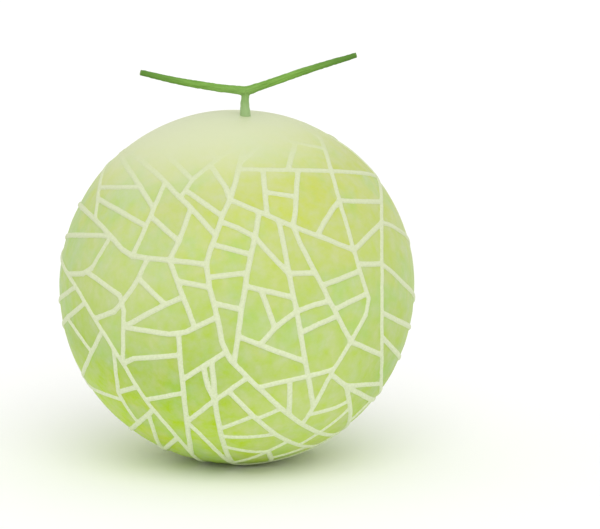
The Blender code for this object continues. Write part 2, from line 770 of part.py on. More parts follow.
def main():
    for old in list(bpy.data.objects):
        bpy.data.objects.remove(old)
    make_fruit()
    make_stem()


if __name__ == "__main__":
    main()
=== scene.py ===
"""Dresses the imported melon: a finely netted rind, the piece of vine on its crown, and a plain studio.

Metres, +Z up. The origin is the middle of the flat spot that the fruit rests on. Its front looks to -Y.
"""

import math
import random

import bmesh
import bpy
import numpy as np
from bpy.props import FloatProperty, FloatVectorProperty, PointerProperty
from bpy.types import Operator, Panel, PropertyGroup
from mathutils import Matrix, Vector, noise
from mathutils.geometry import delaunay_2d_cdt
from mathutils.kdtree import KDTree


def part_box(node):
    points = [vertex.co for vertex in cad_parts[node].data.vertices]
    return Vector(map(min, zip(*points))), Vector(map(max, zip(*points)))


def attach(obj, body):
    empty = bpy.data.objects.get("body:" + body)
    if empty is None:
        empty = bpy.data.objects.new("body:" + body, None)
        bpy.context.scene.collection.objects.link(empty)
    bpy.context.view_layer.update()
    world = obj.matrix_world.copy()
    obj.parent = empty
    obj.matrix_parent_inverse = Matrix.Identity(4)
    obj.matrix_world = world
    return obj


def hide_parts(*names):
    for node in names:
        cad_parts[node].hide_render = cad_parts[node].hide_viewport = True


bl_info = {
    "name": "Netted Cantaloupe",
    "version": (1, 0, 0),
    "blender": (4, 5, 0),
    "location": "3D View > Sidebar > Melon",
    "description": "Builds a netted melon with its piece of vine, and a plain studio round it",
    "category": "Object",
}

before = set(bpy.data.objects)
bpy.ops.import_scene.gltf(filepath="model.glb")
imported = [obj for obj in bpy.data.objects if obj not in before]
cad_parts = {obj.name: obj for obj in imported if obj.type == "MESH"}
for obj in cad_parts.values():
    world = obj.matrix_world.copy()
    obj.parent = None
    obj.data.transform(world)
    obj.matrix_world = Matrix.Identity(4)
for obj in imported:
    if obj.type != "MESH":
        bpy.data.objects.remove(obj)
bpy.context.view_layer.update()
FRUIT_LOW, FRUIT_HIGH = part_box("fruit")

MM = 0.001

# Fruit: a globe that rests on a small flat spot, a little hollow round the stem
RIND_RADIUS = 75.0 * MM
REST_SPOT_RADIUS = 13.0 * MM
REST_SPOT_CORNERS = 24
SEAT_RADIUS = 4.5 * MM
SEAT_CORNERS = 16
CROWN_LEAN = math.radians(2.9)
DIMPLE_DEPTH = 1.5 * MM
DIMPLE_SPREAD = math.radians(9.0)
SCAR_DEPTH = 0.5 * MM
SCAR_SPREAD = math.radians(2.6)
CENTRE = Vector((0.0, 0.0, FRUIT_LOW.z + math.sqrt(RIND_RADIUS**2 - REST_SPOT_RADIUS**2)))
CROWN = Vector((math.sin(CROWN_LEAN), 0.0, math.cos(CROWN_LEAN)))

# Where the net is
NET_STARTS = math.radians(27.0)
NET_IS_FULL = math.radians(47.0)
NET_FREE_LEAN = math.radians(-6.0)
NET_FREE_MIDDLE = Vector((math.sin(NET_FREE_LEAN), 0.0, math.cos(NET_FREE_LEAN)))
NET_FREE_RIM = math.radians(5.0)
NET_SEED = 20
CORNER_TURN = math.radians(18.0)

# How the net cracks: cells split until they are small enough, and a later crack ends on the older ones
LARGEST_CELL = 450.0 * MM * MM
LARGEST_COVERED_CELL = 1250.0 * MM * MM
FRONT_LIMB = 0.0
SMALLEST_SHARE = 0.3
CRACK_STEP = 1.5 * MM
CRACK_REACH = 150.0 * MM
CRACK_PIECE = 8.0 * MM
JUNCTION_REACH = 2.3 * MM
SHORTEST_CRACK = 7.0 * MM
SHARPEST_MEETING = math.radians(52.0)
CRACK_SLANT = math.radians(28.0)
WANDER = 2.2 * MM
WANDER_LENGTH = 26.0 * MM
SPLIT_TRIES = 60
STRICT_TRIES = 50
SHIFT_SHARE = 0.14
LEAST_LIMIT = 0.7
LONGEST_CELL = 36.0 * MM
SEAM_BEHIND = math.radians(6.0)
SEAM_WANDER = math.radians(4.0)
SEAM_KNOT = math.radians(19.0)
SEAM_ENDS = 0.12
TANGENT_GUIDE = Vector((0.3, 0.5, 0.8))

# The front of the net: its cracks as seen from a little above, oldest first, each by points that it passes.
# They are picture points, with the fruit's middle and radius given in the same points, and they cover the
# front but for its lower right.
PICTURE_SIZE = (600, 529)
PICTURE_MIDDLE = (236.9, 286.4)
PICTURE_RADIUS = 178.3
PICTURE_ELEVATION = math.radians(12.0)
COVERED_LEFT_OF = 215
COVERED_DOWN_TO = 397
FRONT_CRACKS = (
    ((65, 267), (82, 292), (98, 318), (122, 355), (148, 398), (180, 437), (195, 456)),
    ((381, 192), (381, 390)),
    ((240, 171), (235, 195), (225, 215), (217, 240), (207, 262), (212, 287), (218, 308), (227, 352),
     (249, 375), (273, 398)),
    ((325, 150), (338, 198), (353, 250), (363, 283), (370, 305), (350, 341), (333, 367), (318, 397)),
    ((80, 205), (98, 220), (115, 238), (133, 257), (172, 260), (207, 264)),
    ((234, 202), (260, 213), (288, 225), (317, 236), (353, 250)),
    ((112, 240), (92, 273), (72, 274)),
    ((93, 274), (128, 298), (127, 325), (126, 357)),
    ((129, 326), (181, 334), (219, 316)),
    ((145, 163), (167, 182), (180, 197), (193, 208), (217, 235)),
    ((193, 211), (183, 240), (173, 260)),
    ((174, 262), (180, 280), (188, 300), (197, 325)),
    ((168, 183), (158, 207), (148, 230), (136, 256)),
    ((127, 165), (143, 188), (157, 210)),
    ((102, 178), (98, 218)),
    ((182, 336), (184, 370), (188, 410), (192, 452)),
    ((260, 216), (256, 240), (250, 267), (244, 302), (240, 334), (236, 360)),
    ((280, 224), (285, 247), (289, 272), (297, 310), (303, 345), (308, 373), (312, 396)),
    ((294, 228), (304, 252), (315, 271), (330, 302), (337, 315), (349, 338)),
    ((241, 335), (261, 343), (304, 359)), ((262, 342), (275, 326), (296, 311)), ((248, 286), (292, 296)),
    ((263, 291), (268, 303), (275, 325)),
    ((242, 171), (328, 172)), ((333, 172), (368, 174)),
    ((73, 235), (111, 236)), ((101, 188), (141, 188)), ((103, 201), (146, 225)),
    ((155, 218), (180, 240)), ((150, 262), (143, 278), (129, 297)), ((131, 324), (163, 306), (186, 296)),
    ((144, 280), (165, 300)), ((182, 281), (208, 286)), ((210, 168), (193, 182), (184, 197)),
    ((170, 157), (192, 179)), ((191, 194), (223, 216)), ((213, 168), (230, 192)),
    ((224, 223), (240, 229), (255, 237)), ((219, 246), (250, 254)), ((211, 277), (247, 273)),
    ((264, 174), (268, 215)), ((298, 174), (295, 225)), ((269, 194), (295, 198)),
    ((318, 234), (330, 213), (338, 203)), ((341, 202), (379, 202)), ((355, 248), (379, 225)),
    ((383, 221), (403, 233)), ((359, 264), (379, 264)), ((383, 264), (412, 292)), ((325, 284), (359, 271)),
    ((292, 273), (314, 273)), ((258, 241), (270, 253), (287, 271)),
    ((219, 303), (242, 308)), ((299, 311), (318, 302), (329, 300)), ((303, 330), (336, 315)),
    ((337, 307), (364, 294)), ((352, 341), (379, 353)), ((383, 313), (409, 326)), ((383, 338), (399, 355)),
    ((263, 384), (290, 378), (307, 374)), ((310, 374), (331, 368)), ((290, 379), (290, 400)),
    ((330, 372), (345, 384), (367, 397)), ((347, 384), (379, 383)), ((346, 386), (349, 400)),
    ((187, 376), (207, 363), (226, 351)), ((191, 418), (212, 401), (249, 375)), ((192, 422), (225, 457)),
    ((214, 360), (216, 380), (217, 397)), ((206, 365), (209, 380), (213, 396)),
    ((217, 402), (220, 420)), ((232, 390), (248, 407)), ((153, 397), (184, 391)), ((127, 358), (182, 353)),
    ((133, 428), (153, 410)), ((117, 350), (121, 395), (137, 418)), ((123, 390), (139, 385)),
    ((97, 390), (119, 397)), ((151, 414), (158, 440)), ((167, 447), (178, 437)), ((100, 317), (125, 308)),
    ((84, 371), (104, 333)), ((87, 303), (67, 319)), ((70, 319), (91, 347)), ((62, 297), (76, 288)),
    ((292, 143), (322, 149)), ((295, 147), (289, 169)), ((243, 163), (264, 143)),
)

# The fine rind: rows of points beside each crack follow the net's rounded section. A scatter fills each cell.
RING_STEP = 1.4 * MM
ROWS = (0.45 * MM, 0.75 * MM, 1.05 * MM, 1.35 * MM, 1.7 * MM, 2.5 * MM)
ROW_SLACK = 0.96
LEAST_MITRE = 0.5
ROW_SPACING = 0.3 * MM
SCATTER_STEP = 2.7 * MM
NEARNESS = 1e-9
CORNER_FILL = 0.25 * MM
NET_TOP_SHARE = 0.5
NET_FOOT_SHARE = 1.16
CREST_FALL = 0.1
PILLOW_FROM = 2.2 * MM
PILLOW_TO = 7.5 * MM
SWAY_LENGTH = 7.0 * MM
MIDDLE_TINT = 0.5
LUMP_LENGTH = 9.0 * MM
LUMP_SHARE = 0.12
GRAIN_LENGTH = 2.6 * MM
GRAIN_HEIGHT = 0.05 * MM

# Stem: a stalk from the seat up to the vine, whose two arms' places are in millimetres from where they meet
STEM_MEETS = CENTRE + Vector((3.9, 0.0, 84.1)) * MM
LEFT_ARM = ((-44.2, -4.0, 8.6), (-29.0, -2.2, 4.7), (-13.0, -0.6, 1.6), (-3.0, -0.1, 0.3))
RIGHT_ARM = ((3.0, 0.1, 0.8), (12.0, 0.8, 3.8), (28.0, 2.6, 9.1), (46.6, 5.0, 14.4))
VINE_RADIUS = 1.85 * MM
VINE_TIP_RADIUS = 1.35 * MM
NODE_SWELLING = 0.2 * MM
NODE_LENGTH = 4.0 * MM
STALK_BASE_RADIUS = 2.35 * MM
STALK_NECK_RADIUS = 1.7 * MM
STALK_NECK_AT = 0.9
STALK_BOW = 0.25 * MM
STALK_ROOT = 0.4 * MM
VINE_PIECES = 200
STALK_PIECES = 50
TUBE_SIDES = 32
STEM_VOXEL = 0.24 * MM
STEM_SMOOTHING = 8
SMOOTHING_SHARE = 0.5
STEM_RIBS = 5
RIB_TWIST = 1.2
FINE_RIBS = 15
RIB_SHARE_OF_FINE = 0.35
BURR_LENGTH = 1.6 * MM
BURR_HEIGHT = 0.14 * MM
JOINT_REACH = 6.5 * MM
END_REACH = 0.3 * MM
STALK_OFFSET = 200.0

# Finish of the rind: how its colours change with height, and with a slow drift of that height. This ramp is
# painted light and shade: lighter at the top, darker green lower down where shade falls, a painted lighter
# underside, and tilted paler to the right
SHADING_RAMP_UP = Vector((0.14, 0.0, 1.0))
SHADING_RAMP_LEVELS = (0.13, 0.32, 0.6, 0.86)
DRIFT_LENGTH = 38.0 * MM
DRIFT = 12.0 * MM
# Painted highlight: the crown turns pale as if lit from above, tilted to reach further down on the left
CROWN_HIGHLIGHT_UP = Vector((-0.14, 0.0, 1.0))
CROWN_HIGHLIGHT_FROM = 120.0 * MM
CROWN_HIGHLIGHT_TO = 150.0 * MM

# Small patches come from a noise between two of its levels, with the share that each colour takes at most
PATCH_LENGTH = 24.0 * MM
PATCH_FROM = 0.47
PATCH_TO = 0.66
SMALL_PATCHES = (("Red", "sun_patch", 0.36), ("Green", "shade_patch", 0.4))

# Broad patches: their middles in millimetres, how far they reach, their colours, and those colours' shares
BROAD_PATCHES = (
    ((25.0, -52.0, 122.0), 52.0 * MM, "sun_patch", 0.3),
    # Painted light: the lower front right is painted paler, as if more light fell there
    ((30.0, -60.0, 36.0), 58.0 * MM, "painted_light_patch", 0.55),
    # Paler upper left, in the colour of bloom and painted highlight
    ((-50.0, -56.0, 86.0), 60.0 * MM, "bloom_and_highlight", 0.25),
)

# Mottling between two levels of a noise makes the skin stronger or duller, and each cell is a little lighter
# or darker than the next
MOTTLE_LENGTH = 6.0 * MM
MOTTLE_FROM = 0.3
MOTTLE_TO = 0.7
STRONGEST = 1.22
DULLEST = 0.8
DARKEST_CELL = 0.985
LIGHTEST_CELL = 1.015

# Cork of the net: how its edge frays, in millimetres, how it fades out, its pores and its paler low bars,
# which are painted light against the shade low on the fruit
FRAY_LENGTH = 1.3 * MM
FRAY = 0.3
CORK_EDGE = 0.12
FAINT_NET_POWER = 0.6
PORE_LENGTH = 1.0 * MM
PORE_FROM = 0.62
PORE_TO = 0.38
PORE_SHARE = 0.4
CORK_LIGHT_FROM = 100.0 * MM
CORK_LIGHT_TO = 10.0 * MM

# Surface: dimples of the skin, how far they and the pores go in, and how matt wax and cork are
PEEL_LENGTH = 1.8 * MM
SKIN_RELIEF = 0.1 * MM
SKIN_RELIEF_SHARE = 0.6
WAX_ROUGHNESS = 0.45
CORK_ROUGHNESS = 0.85
WAX_IOR = 1.44
WAX_SPECULAR = 0.3

# Finish of the vine: its fibres in millimetres, and where its foot and its tips change colour
FIBRE_SPACING = 0.625
FIBRE_SQUASH = 0.12
FIBRE_FROM = 0.3
FIBRE_TO = 0.6
FIBRE_RELIEF = 0.15 * MM
FIBRE_RELIEF_SHARE = 0.8
VINE_ROUGHNESS = 0.6
FOOT_FROM = 162.0 * MM
FOOT_TO = 146.0 * MM
TIP_FROM = 20.0 * MM
TIP_TO = 46.0 * MM

# Finish of the floor: the stipple of a paint roller, and how matt the paint is
STIPPLE_LENGTH = 3.0 * MM
STIPPLE_RELIEF = 0.05 * MM
STIPPLE_SHARE = 0.3
PAINT_ROUGHNESS = 0.9
PAINT_SPECULAR = 0.1

# Sockets of the Mix node by their place, as their names repeat: two numbers, two colours, the mixed colour
NUMBER_A = 2
NUMBER_B = 3
COLOUR_A = 6
COLOUR_B = 7
MIXED = 2

# Stage: a floor wider than the picture, an even sky and one large soft light from above the front. The net's
# crests make the fruit's outline in the picture a little wider than its rind.
FLOOR_RADIUS = 4.0
FLOOR_CORNERS = 96
LIGHT_FROM = Vector((0.08, -0.64, 0.76))
LIGHT_ANGLE = math.radians(50.0)
SENSOR_WIDTH = 36.0
OUTLINE_SWELL = 0.45 * MM
OUTLINE_RADIUS = RIND_RADIUS + OUTLINE_SWELL


def linear(colour):
    """An sRGB hex colour as linear red, green, blue and alpha."""
    channels = [int(colour[k : k + 2], 16) / 255.0 for k in (0, 2, 4)]
    return (*(c / 12.92 if c <= 0.04045 else ((c + 0.055) / 1.055) ** 2.4 for c in channels), 1.0)


def size_setting(name, description, millimetres):
    """A length in the sidebar, with its default in millimetres."""
    return FloatProperty(
        name=name, description=description, default=millimetres * MM, min=0.0, precision=5, unit="LENGTH"
    )


def colour_setting(name, description, colour):
    """A colour in the sidebar, with its default in sRGB hex."""
    return FloatVectorProperty(
        name=name, description=description, default=linear(colour), size=4, min=0.0, max=1.0, subtype="COLOR"
    )


class MelonSizes(PropertyGroup):
    """Sizes of the net, the rind and the vine."""

    net_width: size_setting("Net Width", "Width of the bars of the cork net", 2.3)
    net_height: size_setting("Net Height", "How far the net stands above the rind", 0.64)
    net_sway: size_setting("Net Sway", "How far a bar strays from a straight run", 0.18)
    pillow: size_setting("Pillow", "How far the rind swells up in the middle of a cell", 0.12)
    rib_depth: size_setting("Rib Depth", "Depth of the hollows between the vine's ribs", 0.16)


class MelonColours(PropertyGroup):
    """Colours of the rind, the net and the vine."""

    # The pale crown colour is bloom and painted highlight
    bloom_and_highlight: colour_setting("Bloom", "Pale rind round the stem", "D3D9B2")
    # Shoulder, flank, lower flank and underside make a ramp of painted light and shade by height; the
    # underside is painted lighter
    shoulder: colour_setting("Shoulder", "Rind below the pale crown", "BFC97C")
    flank: colour_setting("Flank", "Rind at the widest place", "B7C976")
    lower_flank: colour_setting("Lower Flank", "Rind below the widest place", "A8C256")
    underside: colour_setting("Underside", "Rind near the resting spot", "BAD556")
    sun_patch: colour_setting("Sun Patch", "Where the rind has turned yellow", "C4CB60")
    # Painted light: this patch lifts the lower front right, not a mark left by soil
    painted_light_patch: colour_setting("Soil Patch", "Paler rind where the fruit lay on the soil", "CDDB90")
    shade_patch: colour_setting("Shade Patch", "Where the rind is still green", "A2C785")
    cork: colour_setting("Cork", "Dry bars of the net", "D3DAB6")
    # Painted light: the low bars are paler where shade falls low on the fruit
    low_cork_painted_light: colour_setting("Low Cork", "Paler bars low on the fruit", "E3EDC9")
    cork_shadow: colour_setting("Cork Shadow", "Pores and fissures of the net", "C2CB9E")
    vine: colour_setting("Vine", "Ribs of the vine", "7DAA4A")
    vine_groove: colour_setting("Vine Groove", "Grooves between the ribs", "608D2B")
    vine_tip: colour_setting("Vine Tip", "Deep green towards the cut ends", "547F2B")
    stalk_base: colour_setting("Stalk Base", "Pale foot of the fruit stalk", "A2BE87")
    pith: colour_setting("Pith", "Dried middle of a cut end", "728D48")


class MelonStudio(PropertyGroup):
    """The camera, the light and the floor."""

    elevation: FloatProperty(
        name="Elevation",
        description="How far above the horizon the camera stands",
        default=PICTURE_ELEVATION,
        subtype="ANGLE",
    )
    distance: FloatProperty(
        name="Distance", description="From the camera to the fruit's middle", default=2.5, unit="LENGTH"
    )
    light_strength: FloatProperty(
        name="Light Strength", description="Strength of the large soft light", default=0.9, min=0.0
    )
    sky_strength: FloatProperty(
        name="Sky Strength", description="Brightness of the even light all round", default=0.88, min=0.0
    )
    floor: colour_setting("Floor", "Painted board that the melon stands on", "FBFBFA")


def smooth_step(value, low, high):
    """0 below low, 1 above high and an even rise between."""
    share = min(1.0, max(0.0, (value - low) / (high - low)))
    return share * share * (3.0 - 2.0 * share)


def turned(start, heading, angle):
    """The direction that lies an angle away from start along a heading square to it."""
    return start * math.cos(angle) + heading * math.sin(angle)


def picture_direction(point):
    """Direction from the fruit's middle to the place on its front that a picture point shows."""
    right = (point[0] - PICTURE_MIDDLE[0]) / PICTURE_RADIUS
    up = (PICTURE_MIDDLE[1] - point[1]) / PICTURE_RADIUS
    towards = math.sqrt(max(0.0, 1.0 - right * right - up * up))
    tilt_cos = math.cos(PICTURE_ELEVATION)
    tilt_sin = math.sin(PICTURE_ELEVATION)
    direction = Vector((right, up * tilt_sin - towards * tilt_cos, up * tilt_cos + towards * tilt_sin))
    return direction.normalized()


def area_within(ring):
    """Area on the rind within a ring of directions."""
    total = Vector()
    for a, b in zip(ring, ring[1:] + ring[:1]):
        total += a.cross(b)
    return total.length / 2.0 * RIND_RADIUS**2


def tangent_axes(middle):
    """Two directions square to each other and to middle, turning anticlockwise as seen from outside."""
    across = middle.cross(TANGENT_GUIDE).normalized()
    return across, middle.cross(across)


class Net:
    """The net's cracks: points on a sphere of radius 1, and the rings of them round the cells in between."""

    def __init__(self):
        self.points = []
        self.meetings = set()
        self.cells = []

    def add_point(self, place, is_meeting=False):
        self.points.append(place.normalized())
        if is_meeting:
            self.meetings.add(len(self.points) - 1)
        return len(self.points) - 1

    def sides(self, cell):
        ring = self.cells[cell]
        return zip(ring, ring[1:] + ring[:1])

    def middle(self, cell):
        """Direction of the cell's middle, weighted by the area round it."""
        total = Vector()
        for a, b in self.sides(cell):
            total += self.points[a].cross(self.points[b])
        return total.normalized()

    def area(self, cell):
        return area_within([self.points[p] for p in self.cells[cell]])

    def holds(self, cell, place):
        """Whether the cell's ring goes once anticlockwise round the place."""
        across, up = tangent_axes(place)
        turn = 0.0
        for a, b in self.sides(cell):
            start = self.points[a]
            end = self.points[b]
            angle = math.atan2(end.dot(up), end.dot(across)) - math.atan2(start.dot(up), start.dot(across))
            turn += (angle + math.pi) % math.tau - math.pi
        return turn > math.pi

    def first_crossing(self, cell, path):
        """Where a path from inside the cell first crosses its ring: its step, the side and the place."""
        for step, (start, end) in enumerate(zip(path, path[1:])):
            plane = start.cross(end)
            found = []
            for a, b in self.sides(cell):
                one = self.points[a]
                other = self.points[b]
                if (plane.dot(one) > 0.0) == (plane.dot(other) > 0.0):
                    continue
                side = one.cross(other)
                if (side.dot(start) > 0.0) == (side.dot(end) > 0.0):
                    continue
                place = plane.cross(side).normalized()
                if place.dot(start) < 0.0:
                    place.negate()
                if place.dot(one) > 0.0:
                    found.append(((place - start).length, (a, b), place))
            if found:
                nearest = min(found)
                return step, nearest[1], nearest[2]
        return None

    def near_meeting(self, cell, place):
        """The point of the cell's ring where cracks already meet within reach of a place, or None."""
        met = [((self.points[p] - place).length, p) for p in self.cells[cell] if p in self.meetings]
        if met and min(met)[0] < JUNCTION_REACH / RIND_RADIUS:
            return min(met)[1]
        return None

    def meeting_point(self, cell, side, place):
        """The point of the cell's ring where a crack ends: one near enough, or a new one on the side."""
        met = self.near_meeting(cell, place)
        if met is not None:
            return met
        distance, point = min(((self.points[p] - place).length, p) for p in side)
        if distance < JUNCTION_REACH / RIND_RADIUS and point not in self.meetings:
            self.points[point] = place
            self.meetings.add(point)
            return point
        point = self.add_point(place, is_meeting=True)
        for ring in self.cells:
            for start, end in (side, side[::-1]):
                if start in ring and ring[(ring.index(start) + 1) % len(ring)] == end:
                    ring.insert(ring.index(start) + 1, point)
        return point

    def meets_squarely(self, cell, crossing, towards):
        """Whether a crack from this end keeps a wide enough angle to the ring on both sides."""
        ring = self.cells[cell]
        _, neighbours, place = crossing
        met = self.near_meeting(cell, place)
        if met is not None:
            place = self.points[met]
            spot = ring.index(met)
            neighbours = (ring[spot - 1], ring[(spot + 1) % len(ring)])
        heading = towards - place
        return min(heading.angle(self.points[p] - place) for p in neighbours) > SHARPEST_MEETING

    def shares_fairly(self, cell, ahead, behind):
        """Whether neither half would be too small a share of the cell."""
        ring = self.cells[cell]
        one = ring.index(ahead[1][1])
        steps = (ring.index(behind[1][0]) - one) % len(ring)
        half = [ahead[2]] + [self.points[ring[(one + k) % len(ring)]] for k in range(steps + 1)] + [behind[2]]
        share = area_within(half) / self.area(cell)
        return SMALLEST_SHARE < share < 1.0 - SMALLEST_SHARE

    def suits(self, cell, ahead, behind, towards):
        """Whether a crack between two crossings would leave well-shaped cells."""
        return (
            (ahead[2] - behind[2]).length * RIND_RADIUS > SHORTEST_CRACK
            and self.meets_squarely(cell, ahead, towards)
            and self.meets_squarely(cell, behind, towards)
            and self.shares_fairly(cell, ahead, behind)
        )

    def crack(self, cell, path, start, strict=False):
        """Cracks a cell in two along a path, from its start step both ways. Returns whether it did."""
        ahead = self.first_crossing(cell, path[start:])
        behind = self.first_crossing(cell, path[start::-1])
        if ahead is None or behind is None or (strict and not self.suits(cell, ahead, behind, path[start])):
            return False
        last = self.meeting_point(cell, *ahead[1:])
        behind = self.first_crossing(cell, path[start::-1])
        first = self.meeting_point(cell, *behind[1:])
        ring = self.cells[cell]
        if (ring.index(first) - ring.index(last)) % len(ring) in (0, 1, len(ring) - 1):
            return False
        between = self.pieces(first, path[start - behind[0] : start + ahead[0] + 1], last)
        ring = ring[ring.index(last) :] + ring[: ring.index(last)]
        at_first = ring.index(first)
        self.cells[cell] = ring[: at_first + 1] + between
        self.cells.append(ring[at_first:] + [last] + between[::-1])
        return True

    def pieces(self, first, inner, last):
        """New points that part a crack into pieces of about the same length, from first to last."""
        places = [self.points[first]] + list(inner) + [self.points[last]]
        lengths = [(b - a).length * RIND_RADIUS for a, b in zip(places, places[1:])]
        count = max(1, round(sum(lengths) / CRACK_PIECE))
        made = []
        for k in range(1, count):
            left = sum(lengths) * k / count
            spot = 0
            while left > lengths[spot]:
                left -= lengths[spot]
                spot += 1
            made.append(self.add_point(places[spot].lerp(places[spot + 1], left / lengths[spot])))
        return made


def lengthened(path):
    """The path with both its ends led on along great circles."""
    step = CRACK_STEP / RIND_RADIUS
    count = round(CRACK_REACH / CRACK_STEP)
    longer = list(path)
    for _ in range(2):
        last = longer[-1]
        back = longer[-2]
        heading = (last - back * last.dot(back)).normalized()
        heading = (heading - last * heading.dot(last)).normalized()
        longer += [turned(last, heading, step * (k + 1)) for k in range(count)]
        longer.reverse()
    return longer, count


def front_path(corners):
    """A front crack's path on the sphere in short steps, and the step at its middle."""
    path = []
    for start, end in zip(corners, corners[1:]):
        one = Vector(start)
        other = Vector(end)
        steps = max(2, round((other - one).length / PICTURE_RADIUS * RIND_RADIUS / CRACK_STEP))
        path += [picture_direction(one.lerp(other, k / steps)) for k in range(steps)]
    path.append(picture_direction(corners[-1]))
    middle = len(path) // 2
    path, added = lengthened(path)
    return path, middle + added


def ruled_path(middle, heading, rng):
    """A later crack's path: a great circle through the middle that wanders a little from side to side."""
    step = CRACK_STEP / RIND_RADIUS
    count = round(CRACK_REACH / CRACK_STEP)
    per_knot = round(WANDER_LENGTH / CRACK_STEP)
    knots = [rng.uniform(-WANDER, WANDER) / RIND_RADIUS for _ in range(2 * count // per_knot + 3)]
    aside = middle.cross(heading)
    path = []
    for k in range(2 * count + 1):
        knot, share = divmod(k, per_knot)
        offset = knots[knot] + (knots[knot + 1] - knots[knot]) * share / per_knot
        path.append((turned(middle, heading, step * (k - count)) + aside * offset).normalized())
    return path, count


def long_way(net, cell):
    """The direction in which a cell is longest, and how long it is there."""
    across, up = tangent_axes(net.middle(cell))
    xx = xy = yy = 0.0
    for a, b in net.sides(cell):
        place = (net.points[a] + net.points[b]) / 2.0
        weight = (net.points[a] - net.points[b]).length
        xx += weight * place.dot(across) ** 2
        xy += weight * place.dot(across) * place.dot(up)
        yy += weight * place.dot(up) ** 2
    heading = turned(across, up, math.atan2(2.0 * xy, xx - yy) / 2.0)
    places = [net.points[p].dot(heading) for p in net.cells[cell]]
    return heading, (max(places) - min(places)) * RIND_RADIUS


def ring_round(net, axis, right, radius, corners):
    """Points evenly round an axis, the first of them towards right."""
    lean = math.asin(radius / RIND_RADIUS)
    aside = axis.cross(right)
    return [
        net.add_point(turned(axis, turned(right, aside, math.tau * k / corners), lean), is_meeting=True)
        for k in range(corners)
    ]


def seam(net, start, end, rng):
    """Points between two others down one side of the fruit, just behind its outline from the front."""
    one = net.points[start]
    other = net.points[end]
    angle = one.angle(other)
    count = round(angle * RIND_RADIUS / CRACK_PIECE)
    knots = round(angle / SEAM_KNOT)
    offsets = [SEAM_BEHIND + rng.uniform(-SEAM_WANDER, SEAM_WANDER) for _ in range(knots + 1)]
    made = []
    for k in range(1, count):
        knot, share = divmod(k / count * knots, 1.0)
        knot = int(knot)
        offset = offsets[knot] + (offsets[knot + 1] - offsets[knot]) * share
        place = one.slerp(other, k / count)
        back = place.z * math.tan(PICTURE_ELEVATION) + math.tan(offset)
        fade = min(1.0, k / count / SEAM_ENDS, (1.0 - k / count) / SEAM_ENDS)
        made.append(net.add_point(place + Vector((0.0, back * fade, 0.0))))
    return made


def first_cells(net, rng):
    """The stem's seat, the rest spot, and the fruit's front and back, with a seam down each side."""
    crown_right = Vector((CROWN.z, 0.0, -CROWN.x))
    seat = ring_round(net, CROWN, crown_right, SEAT_RADIUS, SEAT_CORNERS)
    rest = ring_round(net, Vector((0, 0, -1)), Vector((1, 0, 0)), REST_SPOT_RADIUS, REST_SPOT_CORNERS)
    half_seat = SEAT_CORNERS // 2
    half_rest = REST_SPOT_CORNERS // 2
    right = seam(net, seat[0], rest[0], rng)
    left = seam(net, seat[half_seat], rest[half_rest], rng)
    seat_front = [seat[0]] + seat[: half_seat - 1 : -1]
    seat_back = seat[half_seat::-1]
    rest_front = rest[: half_rest + 1]
    rest_back = rest[half_rest:] + rest[:1]
    net.cells = [
        seat,
        rest,
        seat_front + left + rest_front[::-1] + right[::-1],
        seat_back + right + rest_back[::-1] + left[::-1],
    ]


def net_share(direction):
    """How much of its height the net has there: none round the stem and the rest spot, all of it between."""
    rest_edge = math.asin(REST_SPOT_RADIUS / RIND_RADIUS)
    from_top = direction.angle(NET_FREE_MIDDLE)
    from_rest = direction.angle(Vector((0.0, 0.0, -1.0)))
    share = smooth_step(from_top, NET_STARTS, NET_IS_FULL)
    return share * smooth_step(from_rest, rest_edge, rest_edge + NET_FREE_RIM)


def is_covered(direction):
    """Whether the net there is given by the front's own cracks."""
    tilt = Vector((0.0, math.sin(PICTURE_ELEVATION), math.cos(PICTURE_ELEVATION)))
    across = PICTURE_MIDDLE[0] + direction.x * PICTURE_RADIUS
    down = PICTURE_MIDDLE[1] - direction.dot(tilt) * PICTURE_RADIUS
    facing = direction.dot(picture_direction(PICTURE_MIDDLE))
    in_reach = across < COVERED_LEFT_OF or down < COVERED_DOWN_TO
    return facing > FRONT_LIMB and in_reach and net_share(direction) > 0.0


def crack_across(net, cell, rng):
    """Cracks a cell about across its long way."""
    for attempt in range(SPLIT_TRIES):
        long_heading, length = long_way(net, cell)
        shift = rng.uniform(-SHIFT_SHARE, SHIFT_SHARE) * length / RIND_RADIUS
        middle = (net.middle(cell) + long_heading * shift).normalized()
        heading = long_heading.cross(middle).normalized()
        heading = turned(heading, middle.cross(heading), rng.uniform(-CRACK_SLANT, CRACK_SLANT))
        if not net.holds(cell, middle):
            continue
        path, start = ruled_path(middle, heading, rng)
        if net.crack(cell, path, start, strict=attempt < STRICT_TRIES):
            return True
    return False


def crack_by_rule(net, rng):
    """Cracks the cells that are too large or too long, until none is left."""
    waiting = list(range(2, len(net.cells)))
    while waiting:
        cell = waiting.pop()
        if is_covered(net.middle(cell)):
            is_ripe = net.area(cell) > LARGEST_COVERED_CELL
        else:
            is_large = net.area(cell) > LARGEST_CELL * rng.uniform(LEAST_LIMIT, 1.0)
            is_ripe = is_large or long_way(net, cell)[1] > LONGEST_CELL
        if is_ripe and crack_across(net, cell, rng):
            waiting += [cell, len(net.cells) - 1]


def grown_net(rng):
    """The whole net: the front's cracks as placed, and all the others by the rule."""
    net = Net()
    first_cells(net, rng)
    for corners in FRONT_CRACKS:
        path, start = front_path(corners)
        holders = [cell for cell in range(2, len(net.cells)) if net.holds(cell, path[start])]
        for cell in holders:
            net.crack(cell, path, start)
    crack_by_rule(net, rng)
    return net


